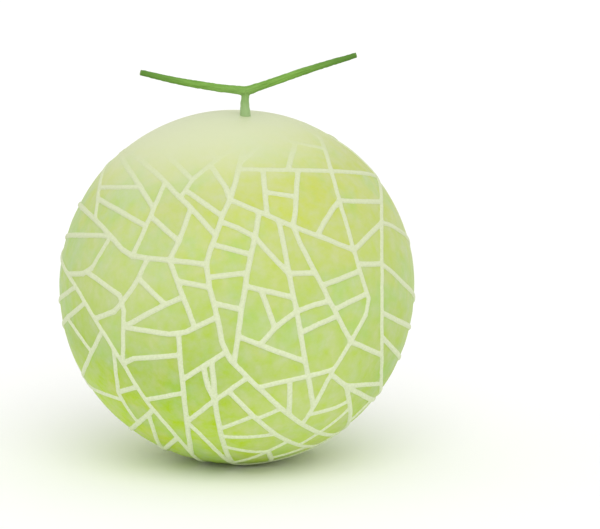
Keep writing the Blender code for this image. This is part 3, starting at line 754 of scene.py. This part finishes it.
def on_rind(direction, lift):
    """Place on the fruit in a direction from its middle: round, with a hollow crown and a flat spot below."""
    dimple = DIMPLE_DEPTH * math.exp(-((direction.angle(CROWN) / DIMPLE_SPREAD) ** 2))
    reach = RIND_RADIUS - dimple + lift
    if direction.z < 0.0:
        scar = SCAR_DEPTH * math.exp(-((direction.angle(Vector((0.0, 0.0, -1.0))) / SCAR_SPREAD) ** 2))
        reach = min(reach, (CENTRE.z - FRUIT_LOW.z) / -direction.z) - scar
    return CENTRE + direction * reach


def swayed(direction, sway):
    """The direction moved a little aside, so that no bar of the net runs dead straight."""
    shift = noise.noise_vector(direction * (RIND_RADIUS / SWAY_LENGTH))
    return (direction + shift * (sway / RIND_RADIUS)).normalized()


def fine_ring(net, cell, sway):
    """A cell's ring in short steps, as names and directions. Neighbours step alike along a shared piece."""
    ring = []
    for a, b in net.sides(cell):
        low, high = sorted((a, b))
        count = max(1, round(net.points[a].angle(net.points[b]) * RIND_RADIUS / RING_STEP))
        ring.append(((a,), swayed(net.points[a], sway)))
        for k in range(1, count):
            step = k if a < b else count - k
            place = net.points[low].slerp(net.points[high], step / count)
            ring.append(((low, high, step), swayed(place, sway)))
    return ring


def edge_gaps(points, outline):
    """Each flat point's distance to each edge of an outline."""
    along = np.roll(outline, -1, axis=0) - outline
    offset = points[:, None, :] - outline[None, :, :]
    share = np.clip((offset * along).sum(axis=2) / (along**2).sum(axis=1), 0.0, 1.0)
    return np.linalg.norm(offset - share[..., None] * along, axis=2)


def lies_within(points, outline):
    """Which flat points an outline goes round."""
    spoke = outline[None, :, :] - points[:, None, :]
    following = np.roll(spoke, -1, axis=1)
    cross = spoke[..., 0] * following[..., 1] - spoke[..., 1] * following[..., 0]
    dot = (spoke * following).sum(axis=2)
    return np.arctan2(cross, dot).sum(axis=1) > math.pi


def inner_points(outline):
    """Points within an outline: rows along it at the set distances, then an even scatter in its middle."""
    along = np.roll(outline, -1, axis=0) - outline
    along /= np.linalg.norm(along, axis=1)[:, None]
    inward = np.stack((-along[:, 1], along[:, 0]), axis=1)
    before = np.roll(inward, 1, axis=0)
    mitre = (inward + before) / np.maximum(1.0 + (inward * before).sum(axis=1), LEAST_MITRE)[:, None]
    layers = [(outline + mitre * distance, distance * ROW_SLACK) for distance in ROWS]
    low = outline.min(axis=0)
    columns, rows = (np.ceil((outline.max(axis=0) - low) / SCATTER_STEP)).astype(int) + 1
    scatter = [(low[0] + (c + row % 2 / 2.0) * SCATTER_STEP, low[1] + row * SCATTER_STEP)
               for row in range(rows) for c in range(columns)]
    layers.append((np.array(scatter), ROWS[-1] + SCATTER_STEP / 2.0))
    kept = []
    for points, least in layers:
        fits = (edge_gaps(points, outline).min(axis=1) > least) & lies_within(points, outline)
        for point in points[fits]:
            if not kept or (np.abs(np.array(kept) - point).sum(axis=1) > ROW_SPACING).all():
                kept.append(point)
    return np.array(kept).reshape(-1, 2)


def crack_distance(points, outline):
    """Each flat point's distance to the cracks round it, rounded off where two sides of the cell meet."""
    along = np.roll(outline, -1, axis=0) - outline
    heading = np.arctan2(along[:, 1], along[:, 0])
    turn = (heading - np.roll(heading, 1) + math.pi) % math.tau - math.pi
    corners = np.flatnonzero(np.abs(turn) > CORNER_TURN)
    gaps = edge_gaps(points, outline)
    if len(corners):
        gaps = np.minimum.reduceat(np.roll(gaps, -corners[0], axis=1), corners - corners[0], axis=1)
    else:
        gaps = gaps.min(axis=1)[:, None]
    rounded = -CORNER_FILL * np.log(np.exp(-gaps / CORNER_FILL).sum(axis=1))
    return np.maximum(rounded, 0.0)


class Skin:
    """The fine rind as it is made: its vertices, what each of them carries, and its triangles."""

    def __init__(self, sizes):
        self.sizes = sizes
        self.places = []
        self.cracks = []
        self.nettings = []
        self.tints = []
        self.faces = []
        self.on_cracks = {}

    def add(self, direction, crack, tint):
        """Adds a vertex in a direction, at a distance from the nearest crack."""
        netting = net_share(direction)
        half = self.sizes.net_width / 2.0
        section = 1.0 - smooth_step(crack, half * NET_TOP_SHARE, half * NET_FOOT_SHARE)
        section *= 1.0 - CREST_FALL * min(1.0, crack / half)
        spot = direction * RIND_RADIUS
        lump = 1.0 + LUMP_SHARE * noise.noise(spot / LUMP_LENGTH)
        grain = GRAIN_HEIGHT * noise.noise(spot / GRAIN_LENGTH)
        pillow = self.sizes.pillow * smooth_step(crack, PILLOW_FROM, PILLOW_TO)
        lift = netting * (section * (self.sizes.net_height * lump + grain) + pillow)
        self.places.append(on_rind(direction, lift))
        self.cracks.append(crack / MM)
        self.nettings.append(netting)
        self.tints.append(tint)
        return len(self.places) - 1

    def add_on_crack(self, name, direction):
        """The vertex of that name on a crack, which the cells beside it share."""
        if name not in self.on_cracks:
            self.on_cracks[name] = self.add(direction, 0.0, MIDDLE_TINT)
        return self.on_cracks[name]

    def add_cell(self, net, cell, tint):
        """Adds the triangles between the middle of the net round a cell and the points within it."""
        middle = net.middle(cell)
        across, up = tangent_axes(middle)
        ring = fine_ring(net, cell, self.sizes.net_sway)
        flat = [direction * (RIND_RADIUS / direction.dot(middle)) for _, direction in ring]
        outline = np.array([(place.dot(across), place.dot(up)) for place in flat])
        inner = inner_points(outline)
        numbers = [self.add_on_crack(*step) for step in ring]
        if len(inner):
            for (x, y), crack in zip(inner, crack_distance(inner, outline)):
                direction = (middle * RIND_RADIUS + across * x + up * y).normalized()
                numbers.append(self.add(direction, crack, tint))
        places = [Vector(place) for place in np.concatenate((outline, inner))]
        found = delaunay_2d_cdt(places, [], [list(range(len(ring)))], 1, NEARNESS)
        for face in found[2]:
            self.faces.append([numbers[found[3][corner][0]] for corner in face])

    def mesh(self, name):
        """The finished mesh, with its vertices' values as attributes."""
        data = bpy.data.meshes.new(name)
        data.from_pydata(self.places, [], self.faces)
        for kind, values in (("crack_mm", self.cracks), ("netting", self.nettings), ("tint", self.tints)):
            data.attributes.new(kind, "FLOAT", "POINT").data.foreach_set("value", values)
        data.shade_smooth()
        return data


def smooth_curve(knots, count):
    """Places evenly spaced along a smooth curve through the knots."""
    ends = [knots[0] * 2.0 - knots[1]] + list(knots) + [knots[-1] * 2.0 - knots[-2]]
    places = []
    for before, start, end, after in zip(ends, ends[1:], ends[2:], ends[3:]):
        for k in range(count):
            t = k / count
            places.append(
                start
                + (end - before) * t / 2.0
                + (before * 2.0 - start * 5.0 + end * 4.0 - after) * t * t / 2.0
                + (start * 3.0 - before - end * 3.0 + after) * t * t * t / 2.0
            )
    places.append(knots[-1])
    lengths = [0.0]
    for one, other in zip(places, places[1:]):
        lengths.append(lengths[-1] + (other - one).length)
    even = []
    spot = 0
    for k in range(count + 1):
        wanted = lengths[-1] * k / count
        while spot < len(lengths) - 2 and lengths[spot + 1] < wanted:
            spot += 1
        share = (wanted - lengths[spot]) / (lengths[spot + 1] - lengths[spot])
        even.append(places[spot].lerp(places[spot + 1], share))
    return even


def vine_line():
    """The vine's path from tip to tip, and its radius at each place."""
    knots = [STEM_MEETS + Vector(place) * MM for place in (*LEFT_ARM, (0.0, 0.0, 0.0), *RIGHT_ARM)]
    path = smooth_curve(knots, VINE_PIECES)
    radii = []
    for place in path:
        away = (place - STEM_MEETS).length
        share = away / (Vector(LEFT_ARM[0]).length * MM)
        swelling = NODE_SWELLING * math.exp(-((away / NODE_LENGTH) ** 2))
        radii.append(VINE_RADIUS + (VINE_TIP_RADIUS - VINE_RADIUS) * share**2 + swelling)
    return path, radii


def stalk_line():
    """The fruit stalk's path from just under the seat to the vine, and its radius at each place."""
    seat_lean = math.asin(SEAT_RADIUS / RIND_RADIUS)
    seat_edge = on_rind(turned(CROWN, Vector((CROWN.z, 0.0, -CROWN.x)), seat_lean), 0.0) - CENTRE
    base = CENTRE + CROWN * (seat_edge.dot(CROWN) - STALK_ROOT)
    bow = Vector((-STALK_BOW, 0.0, 0.0))
    path = smooth_curve([base, base.lerp(STEM_MEETS, 0.5) + bow, STEM_MEETS], STALK_PIECES)
    radii = []
    for k in range(len(path)):
        share = smooth_step(k / STALK_PIECES, 0.0, STALK_NECK_AT)
        radii.append(STALK_BASE_RADIUS + (STALK_NECK_RADIUS - STALK_BASE_RADIUS) * share)
    return path, radii


def axes_at(path, k):
    """The direction of a path at one of its places, and two directions square to it."""
    along = (path[min(k + 1, len(path) - 1)] - path[max(k - 1, 0)]).normalized()
    across = Vector((0.0, 1.0, 0.0)).cross(along).normalized()
    return along, across, along.cross(across)


def add_tube(mesh, path, radii):
    """Adds a closed round tube along a path."""
    rings = []
    for k, (place, radius) in enumerate(zip(path, radii)):
        _, across, up = axes_at(path, k)
        rings.append([
            mesh.verts.new(place + turned(across, up, math.tau * side / TUBE_SIDES) * radius)
            for side in range(TUBE_SIDES)
        ])
    for ring, following in zip(rings, rings[1:]):
        for side in range(TUBE_SIDES):
            corner = (side + 1) % TUBE_SIDES
            mesh.faces.new((ring[side], ring[corner], following[corner], following[side]))
    mesh.faces.new(rings[0][::-1])
    mesh.faces.new(rings[-1])


def joined_stem():
    """The stalk and the vine grown together: one closed mesh with a soft joint."""
    mesh = bmesh.new()
    add_tube(mesh, *vine_line())
    add_tube(mesh, *stalk_line())
    data = bpy.data.meshes.new("melon_vine")
    mesh.to_mesh(data)
    mesh.free()
    stem = bpy.data.objects.new("melon_vine", data)
    bpy.context.scene.collection.objects.link(stem)
    skin = stem.modifiers.new("skin", "REMESH")
    skin.mode = "VOXEL"
    skin.voxel_size = STEM_VOXEL
    blend = stem.modifiers.new("blend", "SMOOTH")
    blend.factor = SMOOTHING_SHARE
    blend.iterations = STEM_SMOOTHING
    shape = stem.evaluated_get(bpy.context.evaluated_depsgraph_get())
    stem.data = bpy.data.meshes.new_from_object(shape)
    stem.modifiers.clear()
    bpy.data.meshes.remove(data)
    stem.data.name = "melon_vine"
    return stem


def rib_the_stem(stem, depth):
    """Works the ribs into the stem's skin, and notes how its fibres run and where its cut ends are."""
    lines = (vine_line(), stalk_line())
    tree = KDTree(sum(len(path) for path, _ in lines))
    spots = []
    for number, (path, _) in enumerate(lines):
        for k, place in enumerate(path):
            tree.insert(place, len(spots))
            spots.append((number, k))
    tree.balance()
    fibres = []
    ends = []
    for vertex in stem.data.vertices:
        number, k = spots[tree.find(vertex.co)[1]]
        path, radii = lines[number]
        along, across, up = axes_at(path, k)
        offset = vertex.co - path[k]
        run = (path[1] - path[0]).length * k + offset.dot(along)
        length = (path[1] - path[0]).length * (len(path) - 1)
        angle = math.atan2(offset.dot(up), offset.dot(across))
        twist = RIB_TWIST * run / length * math.tau
        ribs = math.cos(STEM_RIBS * angle + twist)
        fine = math.cos(FINE_RIBS * angle + twist)
        joint = smooth_step((path[k] - STEM_MEETS).length, radii[k], JOINT_REACH)
        outward = (offset - along * offset.dot(along)).normalized()
        wave = (ribs * (1.0 - RIB_SHARE_OF_FINE) + fine * RIB_SHARE_OF_FINE - 1.0) / 2.0
        burr = BURR_HEIGHT * (noise.noise(vertex.co / BURR_LENGTH) - 0.5)
        vertex.co += outward * (depth * wave * joint + burr)
        lift = Vector((math.cos(angle), math.sin(angle), 0.0)) * radii[k]
        fibres += [lift.x / MM, lift.y / MM, run / MM + number * STALK_OFFSET]
        at_end = number == 0 and min(run, length - run) < END_REACH
        ends.append(1.0 if at_end else 0.0)
    stem.data.attributes.new("fibre_mm", "FLOAT_VECTOR", "POINT").data.foreach_set("vector", fibres)
    stem.data.attributes.new("cut", "FLOAT", "POINT").data.foreach_set("value", ends)
    stem.data.shade_smooth()


def add_node(tree, kind, inputs=None, **settings):
    """Adds a shader node with its settings, and sets its inputs to values or links them to sockets."""
    node = tree.nodes.new("ShaderNode" + kind)
    for name, value in settings.items():
        setattr(node, name, value)
    for name, value in (inputs or {}).items():
        if isinstance(value, bpy.types.NodeSocket):
            tree.links.new(value, node.inputs[name])
        else:
            node.inputs[name].default_value = value
    return node


def new_material(name):
    """An empty Principled material, its node tree and its surface node."""
    material = bpy.data.materials.new(name)
    material.use_nodes = True
    return material, material.node_tree, material.node_tree.nodes["Principled BSDF"]


def skin_colour(tree, place, tint, colours):
    """The skin's colour: by height as painted light and shade, then yellower sunned and greener shaded
    patches, mottling, and a pale crown of bloom and painted highlight.
    """
    # Painted light and shade: the colour by height, tilted paler to the right, stands in for light from above
    # and shade lower down
    height = add_node(tree, "VectorMath", {0: place, 1: SHADING_RAMP_UP}, operation="DOT_PRODUCT").outputs["Value"]
    drift = add_node(tree, "TexNoise", {"Vector": place, "Scale": 1.0 / DRIFT_LENGTH}).outputs["Fac"]
    level = add_node(tree, "Math", {0: drift, 1: DRIFT, 2: height}, operation="MULTIPLY_ADD").outputs[0]
    span = {"Value": level, "From Min": DRIFT / 2.0, "From Max": FRUIT_HIGH.z + DRIFT / 2.0}
    shading_ramp = add_node(tree, "ValToRGB", {"Fac": add_node(tree, "MapRange", span).outputs[0]})
    stops = (colours.underside, colours.lower_flank, colours.flank, colours.shoulder)
    ramp = shading_ramp.color_ramp.elements
    while len(ramp) < len(stops):
        ramp.new(0.5)
    for element, position, colour in zip(ramp, SHADING_RAMP_LEVELS, stops):
        element.position = position
        element.color = colour
    skin = shading_ramp.outputs["Color"]

    blotches = {"Vector": place, "Scale": 1.0 / PATCH_LENGTH, "Detail": 4.0, "Roughness": 0.6}
    parts = add_node(tree, "TexNoise", blotches).outputs["Color"]
    parts = add_node(tree, "SeparateColor", {"Color": parts}).outputs
    patches = []
    for part, name, most in SMALL_PATCHES:
        span = {"Value": parts[part], "From Min": PATCH_FROM, "From Max": PATCH_TO, "To Max": most}
        patches.append((span, name))
    for spot, radius, name, most in BROAD_PATCHES:
        ends = {0: place, 1: Vector(spot) * MM}
        away = add_node(tree, "VectorMath", ends, operation="DISTANCE").outputs["Value"]
        patches.append(({"Value": away, "From Min": radius, "From Max": 0.0, "To Max": most}, name))
    for span, name in patches:
        share = add_node(tree, "MapRange", span, interpolation_type="SMOOTHSTEP").outputs[0]
        mix = {"Factor": share, COLOUR_A: skin, COLOUR_B: getattr(colours, name)}
        skin = add_node(tree, "Mix", mix, data_type="RGBA").outputs[MIXED]

    mottling = {"Vector": place, "Scale": 1.0 / MOTTLE_LENGTH, "Detail": 5.0, "Roughness": 0.6}
    mottle = add_node(tree, "TexNoise", mottling).outputs["Fac"]
    span = {"Value": mottle, "From Min": MOTTLE_FROM, "From Max": MOTTLE_TO}
    depth = add_node(tree, "MapRange", {**span, "To Min": STRONGEST, "To Max": DULLEST}).outputs[0]
    span = {"Value": tint, "To Min": DARKEST_CELL, "To Max": LIGHTEST_CELL}
    light = add_node(tree, "MapRange", span).outputs[0]
    skin = add_node(tree, "HueSaturation", {"Saturation": depth, "Value": light, "Color": skin}).outputs[0]

    # Painted highlight: the crown is mixed towards the pale colour of bloom and highlight
    height = add_node(tree, "VectorMath", {0: place, 1: CROWN_HIGHLIGHT_UP}, operation="DOT_PRODUCT").outputs["Value"]
    span = {"Value": height, "From Min": CROWN_HIGHLIGHT_FROM, "From Max": CROWN_HIGHLIGHT_TO}
    share = add_node(tree, "MapRange", span, interpolation_type="SMOOTHSTEP").outputs[0]
    mix = {"Factor": share, COLOUR_A: skin, COLOUR_B: colours.bloom_and_highlight}
    return add_node(tree, "Mix", mix, data_type="RGBA").outputs[MIXED]


def rind_material(colours, sizes):
    """Netted muskmelon rind: thin waxed green skin, and a net of dry cork grown over it.

    The wax gives the skin a low, soft gloss. The cork is matt, pale and finely grained.
    """
    material, tree, surface = new_material("waxed_rind_with_cork_net")
    place = add_node(tree, "TexCoord").outputs["Object"]
    crack = add_node(tree, "Attribute", attribute_name="crack_mm").outputs["Fac"]
    netting = add_node(tree, "Attribute", attribute_name="netting").outputs["Fac"]
    tint = add_node(tree, "Attribute", attribute_name="tint").outputs["Fac"]

    # The cork's edge frays by about 0.1 mm, drawn three times as coarse so that it shows
    fray = add_node(tree, "TexNoise", {"Vector": place, "Scale": 1.0 / FRAY_LENGTH}).outputs["Fac"]
    frayed = add_node(tree, "Math", {0: fray, 1: FRAY, 2: crack}, operation="MULTIPLY_ADD").outputs[0]
    half = sizes.net_width / 2.0 / MM + FRAY / 2.0
    span = {"Value": frayed, "From Min": half + CORK_EDGE, "From Max": half - CORK_EDGE}
    within = add_node(tree, "MapRange", span, interpolation_type="SMOOTHSTEP").outputs[0]
    shown = add_node(tree, "Math", {0: netting, 1: FAINT_NET_POWER}, operation="POWER").outputs[0]
    cork = add_node(tree, "Math", {0: within, 1: shown}, operation="MULTIPLY").outputs[0]

    # Pores in the cork are 0.3 mm apart, drawn at 1 mm so that they show
    grain = {"Vector": place, "Scale": 1.0 / PORE_LENGTH, "Detail": 4.0, "Roughness": 0.65}
    pores = add_node(tree, "TexNoise", grain).outputs["Fac"]
    span = {"Value": pores, "From Min": PORE_FROM, "From Max": PORE_TO, "To Max": PORE_SHARE}
    pore = add_node(tree, "MapRange", span).outputs[0]
    # Painted light: bars low on the fruit are mixed paler, against the shade that falls there
    height = add_node(tree, "SeparateXYZ", {"Vector": place}).outputs["Z"]
    span = {"Value": height, "From Min": CORK_LIGHT_FROM, "From Max": CORK_LIGHT_TO}
    low = add_node(tree, "MapRange", span).outputs[0]
    bark = colours.cork
    for share, colour in ((low, colours.low_cork_painted_light), (pore, colours.cork_shadow)):
        mix = {"Factor": share, COLOUR_A: bark, COLOUR_B: colour}
        bark = add_node(tree, "Mix", mix, data_type="RGBA").outputs[MIXED]

    skin = skin_colour(tree, place, tint, colours)
    mix = {"Factor": cork, COLOUR_A: skin, COLOUR_B: bark}
    colour = add_node(tree, "Mix", mix, data_type="RGBA").outputs[MIXED]
    span = {"Value": cork, "To Min": WAX_ROUGHNESS, "To Max": CORK_ROUGHNESS}
    gloss = add_node(tree, "MapRange", span).outputs[0]
    peel = add_node(tree, "TexNoise", {"Vector": place, "Scale": 1.0 / PEEL_LENGTH}).outputs["Fac"]
    relief = add_node(tree, "Mix", {"Factor": cork, NUMBER_A: peel, NUMBER_B: pores}).outputs[0]
    relief = {"Height": relief, "Distance": SKIN_RELIEF, "Strength": SKIN_RELIEF_SHARE}
    bump = add_node(tree, "Bump", relief).outputs[0]
    tree.links.new(colour, surface.inputs["Base Color"])
    tree.links.new(gloss, surface.inputs["Roughness"])
    tree.links.new(bump, surface.inputs["Normal"])
    surface.inputs["IOR"].default_value = WAX_IOR
    surface.inputs["Specular IOR Level"].default_value = WAX_SPECULAR
    return material


def vine_material(colours):
    """Fresh melon vine: green and fibrous, ribbed along its length, with a satin skin and pithy cut ends."""
    material, tree, surface = new_material("fresh_melon_vine")
    fibre = add_node(tree, "Attribute", attribute_name="fibre_mm").outputs["Vector"]
    cut = add_node(tree, "Attribute", attribute_name="cut").outputs["Fac"]
    place = add_node(tree, "TexCoord").outputs["Object"]
    height = add_node(tree, "SeparateXYZ", {"Vector": place}).outputs["Z"]

    # Fibres 0.6 mm apart and about 5 mm long
    stretched = add_node(tree, "Mapping", {"Vector": fibre, "Scale": (1.0, 1.0, FIBRE_SQUASH)}).outputs[0]
    grain = {"Vector": stretched, "Scale": 1.0 / FIBRE_SPACING, "Detail": 4.0, "Roughness": 0.6}
    strands = add_node(tree, "TexNoise", grain).outputs["Fac"]
    span = {"Value": strands, "From Min": FIBRE_FROM, "From Max": FIBRE_TO}
    strand = add_node(tree, "MapRange", span).outputs[0]
    span = {"Value": height, "From Min": FOOT_FROM, "From Max": FOOT_TO}
    foot = add_node(tree, "MapRange", span, interpolation_type="SMOOTHSTEP").outputs[0]
    away = add_node(tree, "VectorMath", {0: place, 1: STEM_MEETS}, operation="DISTANCE").outputs["Value"]
    tip = add_node(tree, "MapRange", {"Value": away, "From Min": TIP_FROM, "From Max": TIP_TO}).outputs[0]
    skin = colours.vine_groove
    shares = (strand, foot, tip, cut)
    for share, colour in zip(shares, (colours.vine, colours.stalk_base, colours.vine_tip, colours.pith)):
        mix = {"Factor": share, COLOUR_A: skin, COLOUR_B: colour}
        skin = add_node(tree, "Mix", mix, data_type="RGBA").outputs[MIXED]
    relief = {"Height": strands, "Distance": FIBRE_RELIEF, "Strength": FIBRE_RELIEF_SHARE}
    bump = add_node(tree, "Bump", relief).outputs[0]
    tree.links.new(skin, surface.inputs["Base Color"])
    tree.links.new(bump, surface.inputs["Normal"])
    surface.inputs["Roughness"].default_value = VINE_ROUGHNESS
    surface.inputs["IOR"].default_value = WAX_IOR
    surface.inputs["Specular IOR Level"].default_value = WAX_SPECULAR
    return material


def floor_material(colour):
    """Board painted matt white, with the faint stipple that a roller leaves."""
    material, tree, surface = new_material("matt_painted_board")
    place = add_node(tree, "TexCoord").outputs["Object"]
    stipple = add_node(tree, "TexNoise", {"Vector": place, "Scale": 1.0 / STIPPLE_LENGTH}).outputs["Fac"]
    relief = {"Height": stipple, "Distance": STIPPLE_RELIEF, "Strength": STIPPLE_SHARE}
    bump = add_node(tree, "Bump", relief).outputs[0]
    tree.links.new(bump, surface.inputs["Normal"])
    surface.inputs["Base Color"].default_value = colour
    surface.inputs["Roughness"].default_value = PAINT_ROUGHNESS
    surface.inputs["Specular IOR Level"].default_value = PAINT_SPECULAR
    return material


def add_light(strength):
    """One large soft light, far away, so that it is as bright all over the floor."""
    lamp = bpy.data.lights.new("soft_light", "SUN")
    lamp.energy = strength
    lamp.angle = LIGHT_ANGLE
    light = bpy.data.objects.new("soft_light", lamp)
    bpy.context.scene.collection.objects.link(light)
    light.rotation_euler = (-LIGHT_FROM).to_track_quat("-Z", "Y").to_euler()


def add_camera(studio):
    """The camera, moved aside in its own plane so that the fruit falls where the picture has it."""
    picture_scale = OUTLINE_RADIUS / PICTURE_RADIUS
    lens = bpy.data.cameras.new("camera")
    lens.sensor_width = SENSOR_WIDTH
    lens.lens = SENSOR_WIDTH * studio.distance / (PICTURE_SIZE[0] * picture_scale)
    camera = bpy.data.objects.new("camera", lens)
    bpy.context.scene.collection.objects.link(camera)
    tilt_cos = math.cos(studio.elevation)
    tilt_sin = math.sin(studio.elevation)
    right = (PICTURE_SIZE[0] / 2.0 - PICTURE_MIDDLE[0]) * picture_scale
    up = (PICTURE_MIDDLE[1] - PICTURE_SIZE[1] / 2.0) * picture_scale
    back = Vector((0.0, -tilt_cos, tilt_sin)) * studio.distance
    camera.location = CENTRE + back + Vector((right, up * tilt_sin, up * tilt_cos))
    camera.rotation_euler = (math.pi / 2.0 - studio.elevation, 0.0, 0.0)
    bpy.context.scene.camera = camera


class MakeMelon(Operator):
    """Make the fruit: a globe of rind with its raised net of cork"""

    bl_idname = "melon.make_fruit"
    bl_label = "Make Fruit"

    def execute(self, context):
        sizes = context.scene.melon_sizes
        rng = random.Random(NET_SEED)
        net = grown_net(rng)
        # The vector noise that sways the bars starts from the clock unless it is given a seed
        noise.seed_set(NET_SEED)
        skin = Skin(sizes)
        for cell in range(len(net.cells)):
            skin.add_cell(net, cell, rng.random())
        melon = bpy.data.objects.new("melon", skin.mesh("melon"))
        context.scene.collection.objects.link(melon)
        melon.data.materials.append(rind_material(context.scene.melon_colours, sizes))
        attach(melon, "root")
        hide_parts("fruit")
        return {"FINISHED"}


class MakeVine(Operator):
    """Make the fruit stalk and the piece of vine that it grows from"""

    bl_idname = "melon.make_vine"
    bl_label = "Make Vine"

    def execute(self, context):
        stem = joined_stem()
        rib_the_stem(stem, context.scene.melon_sizes.rib_depth)
        stem.data.materials.append(vine_material(context.scene.melon_colours))
        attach(stem, "root")
        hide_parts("stem")
        return {"FINISHED"}


class SetStage(Operator):
    """Set the stage: a pale floor, soft light all round and the camera"""

    bl_idname = "melon.set_stage"
    bl_label = "Set Stage"

    def execute(self, context):
        studio = context.scene.melon_studio
        mesh = bmesh.new()
        bmesh.ops.create_circle(mesh, cap_ends=True, segments=FLOOR_CORNERS, radius=FLOOR_RADIUS)
        data = bpy.data.meshes.new("floor")
        mesh.to_mesh(data)
        mesh.free()
        floor = bpy.data.objects.new("floor", data)
        floor.location.z = FRUIT_LOW.z
        context.scene.collection.objects.link(floor)
        floor.data.materials.append(floor_material(studio.floor))
        world = bpy.data.worlds.new("even_light")
        world.use_nodes = True
        world.node_tree.nodes["Background"].inputs["Color"].default_value = (1.0, 1.0, 1.0, 1.0)
        world.node_tree.nodes["Background"].inputs["Strength"].default_value = studio.sky_strength
        context.scene.world = world
        context.scene.view_settings.view_transform = "Standard"
        add_light(studio.light_strength)
        add_camera(studio)
        return {"FINISHED"}


class MelonPanel(Panel):
    """The melon's steps and settings"""

    bl_idname = "VIEW3D_PT_melon"
    bl_label = "Netted Cantaloupe"
    bl_space_type = "VIEW_3D"
    bl_region_type = "UI"
    bl_category = "Melon"

    def draw(self, context):
        layout = self.layout
        for operator in OPERATORS:
            layout.operator(operator.bl_idname)
        for name in SETTINGS:
            settings = getattr(context.scene, name)
            box = layout.box()
            for key in settings.__annotations__:
                box.prop(settings, key)


OPERATORS = (MakeMelon, MakeVine, SetStage)
SETTINGS = {"melon_sizes": MelonSizes, "melon_colours": MelonColours, "melon_studio": MelonStudio}


def register():
    for group in SETTINGS.values():
        bpy.utils.register_class(group)
    for name, group in SETTINGS.items():
        setattr(bpy.types.Scene, name, PointerProperty(type=group))
    for operator in OPERATORS:
        bpy.utils.register_class(operator)
    bpy.utils.register_class(MelonPanel)


def unregister():
    bpy.utils.unregister_class(MelonPanel)
    for operator in reversed(OPERATORS):
        bpy.utils.unregister_class(operator)
    for name in SETTINGS:
        delattr(bpy.types.Scene, name)
    for group in reversed(list(SETTINGS.values())):
        bpy.utils.unregister_class(group)


def main():
    register()
    bpy.ops.melon.make_fruit()
    bpy.ops.melon.make_vine()
    bpy.ops.melon.set_stage()


if __name__ == "__main__":
    main()
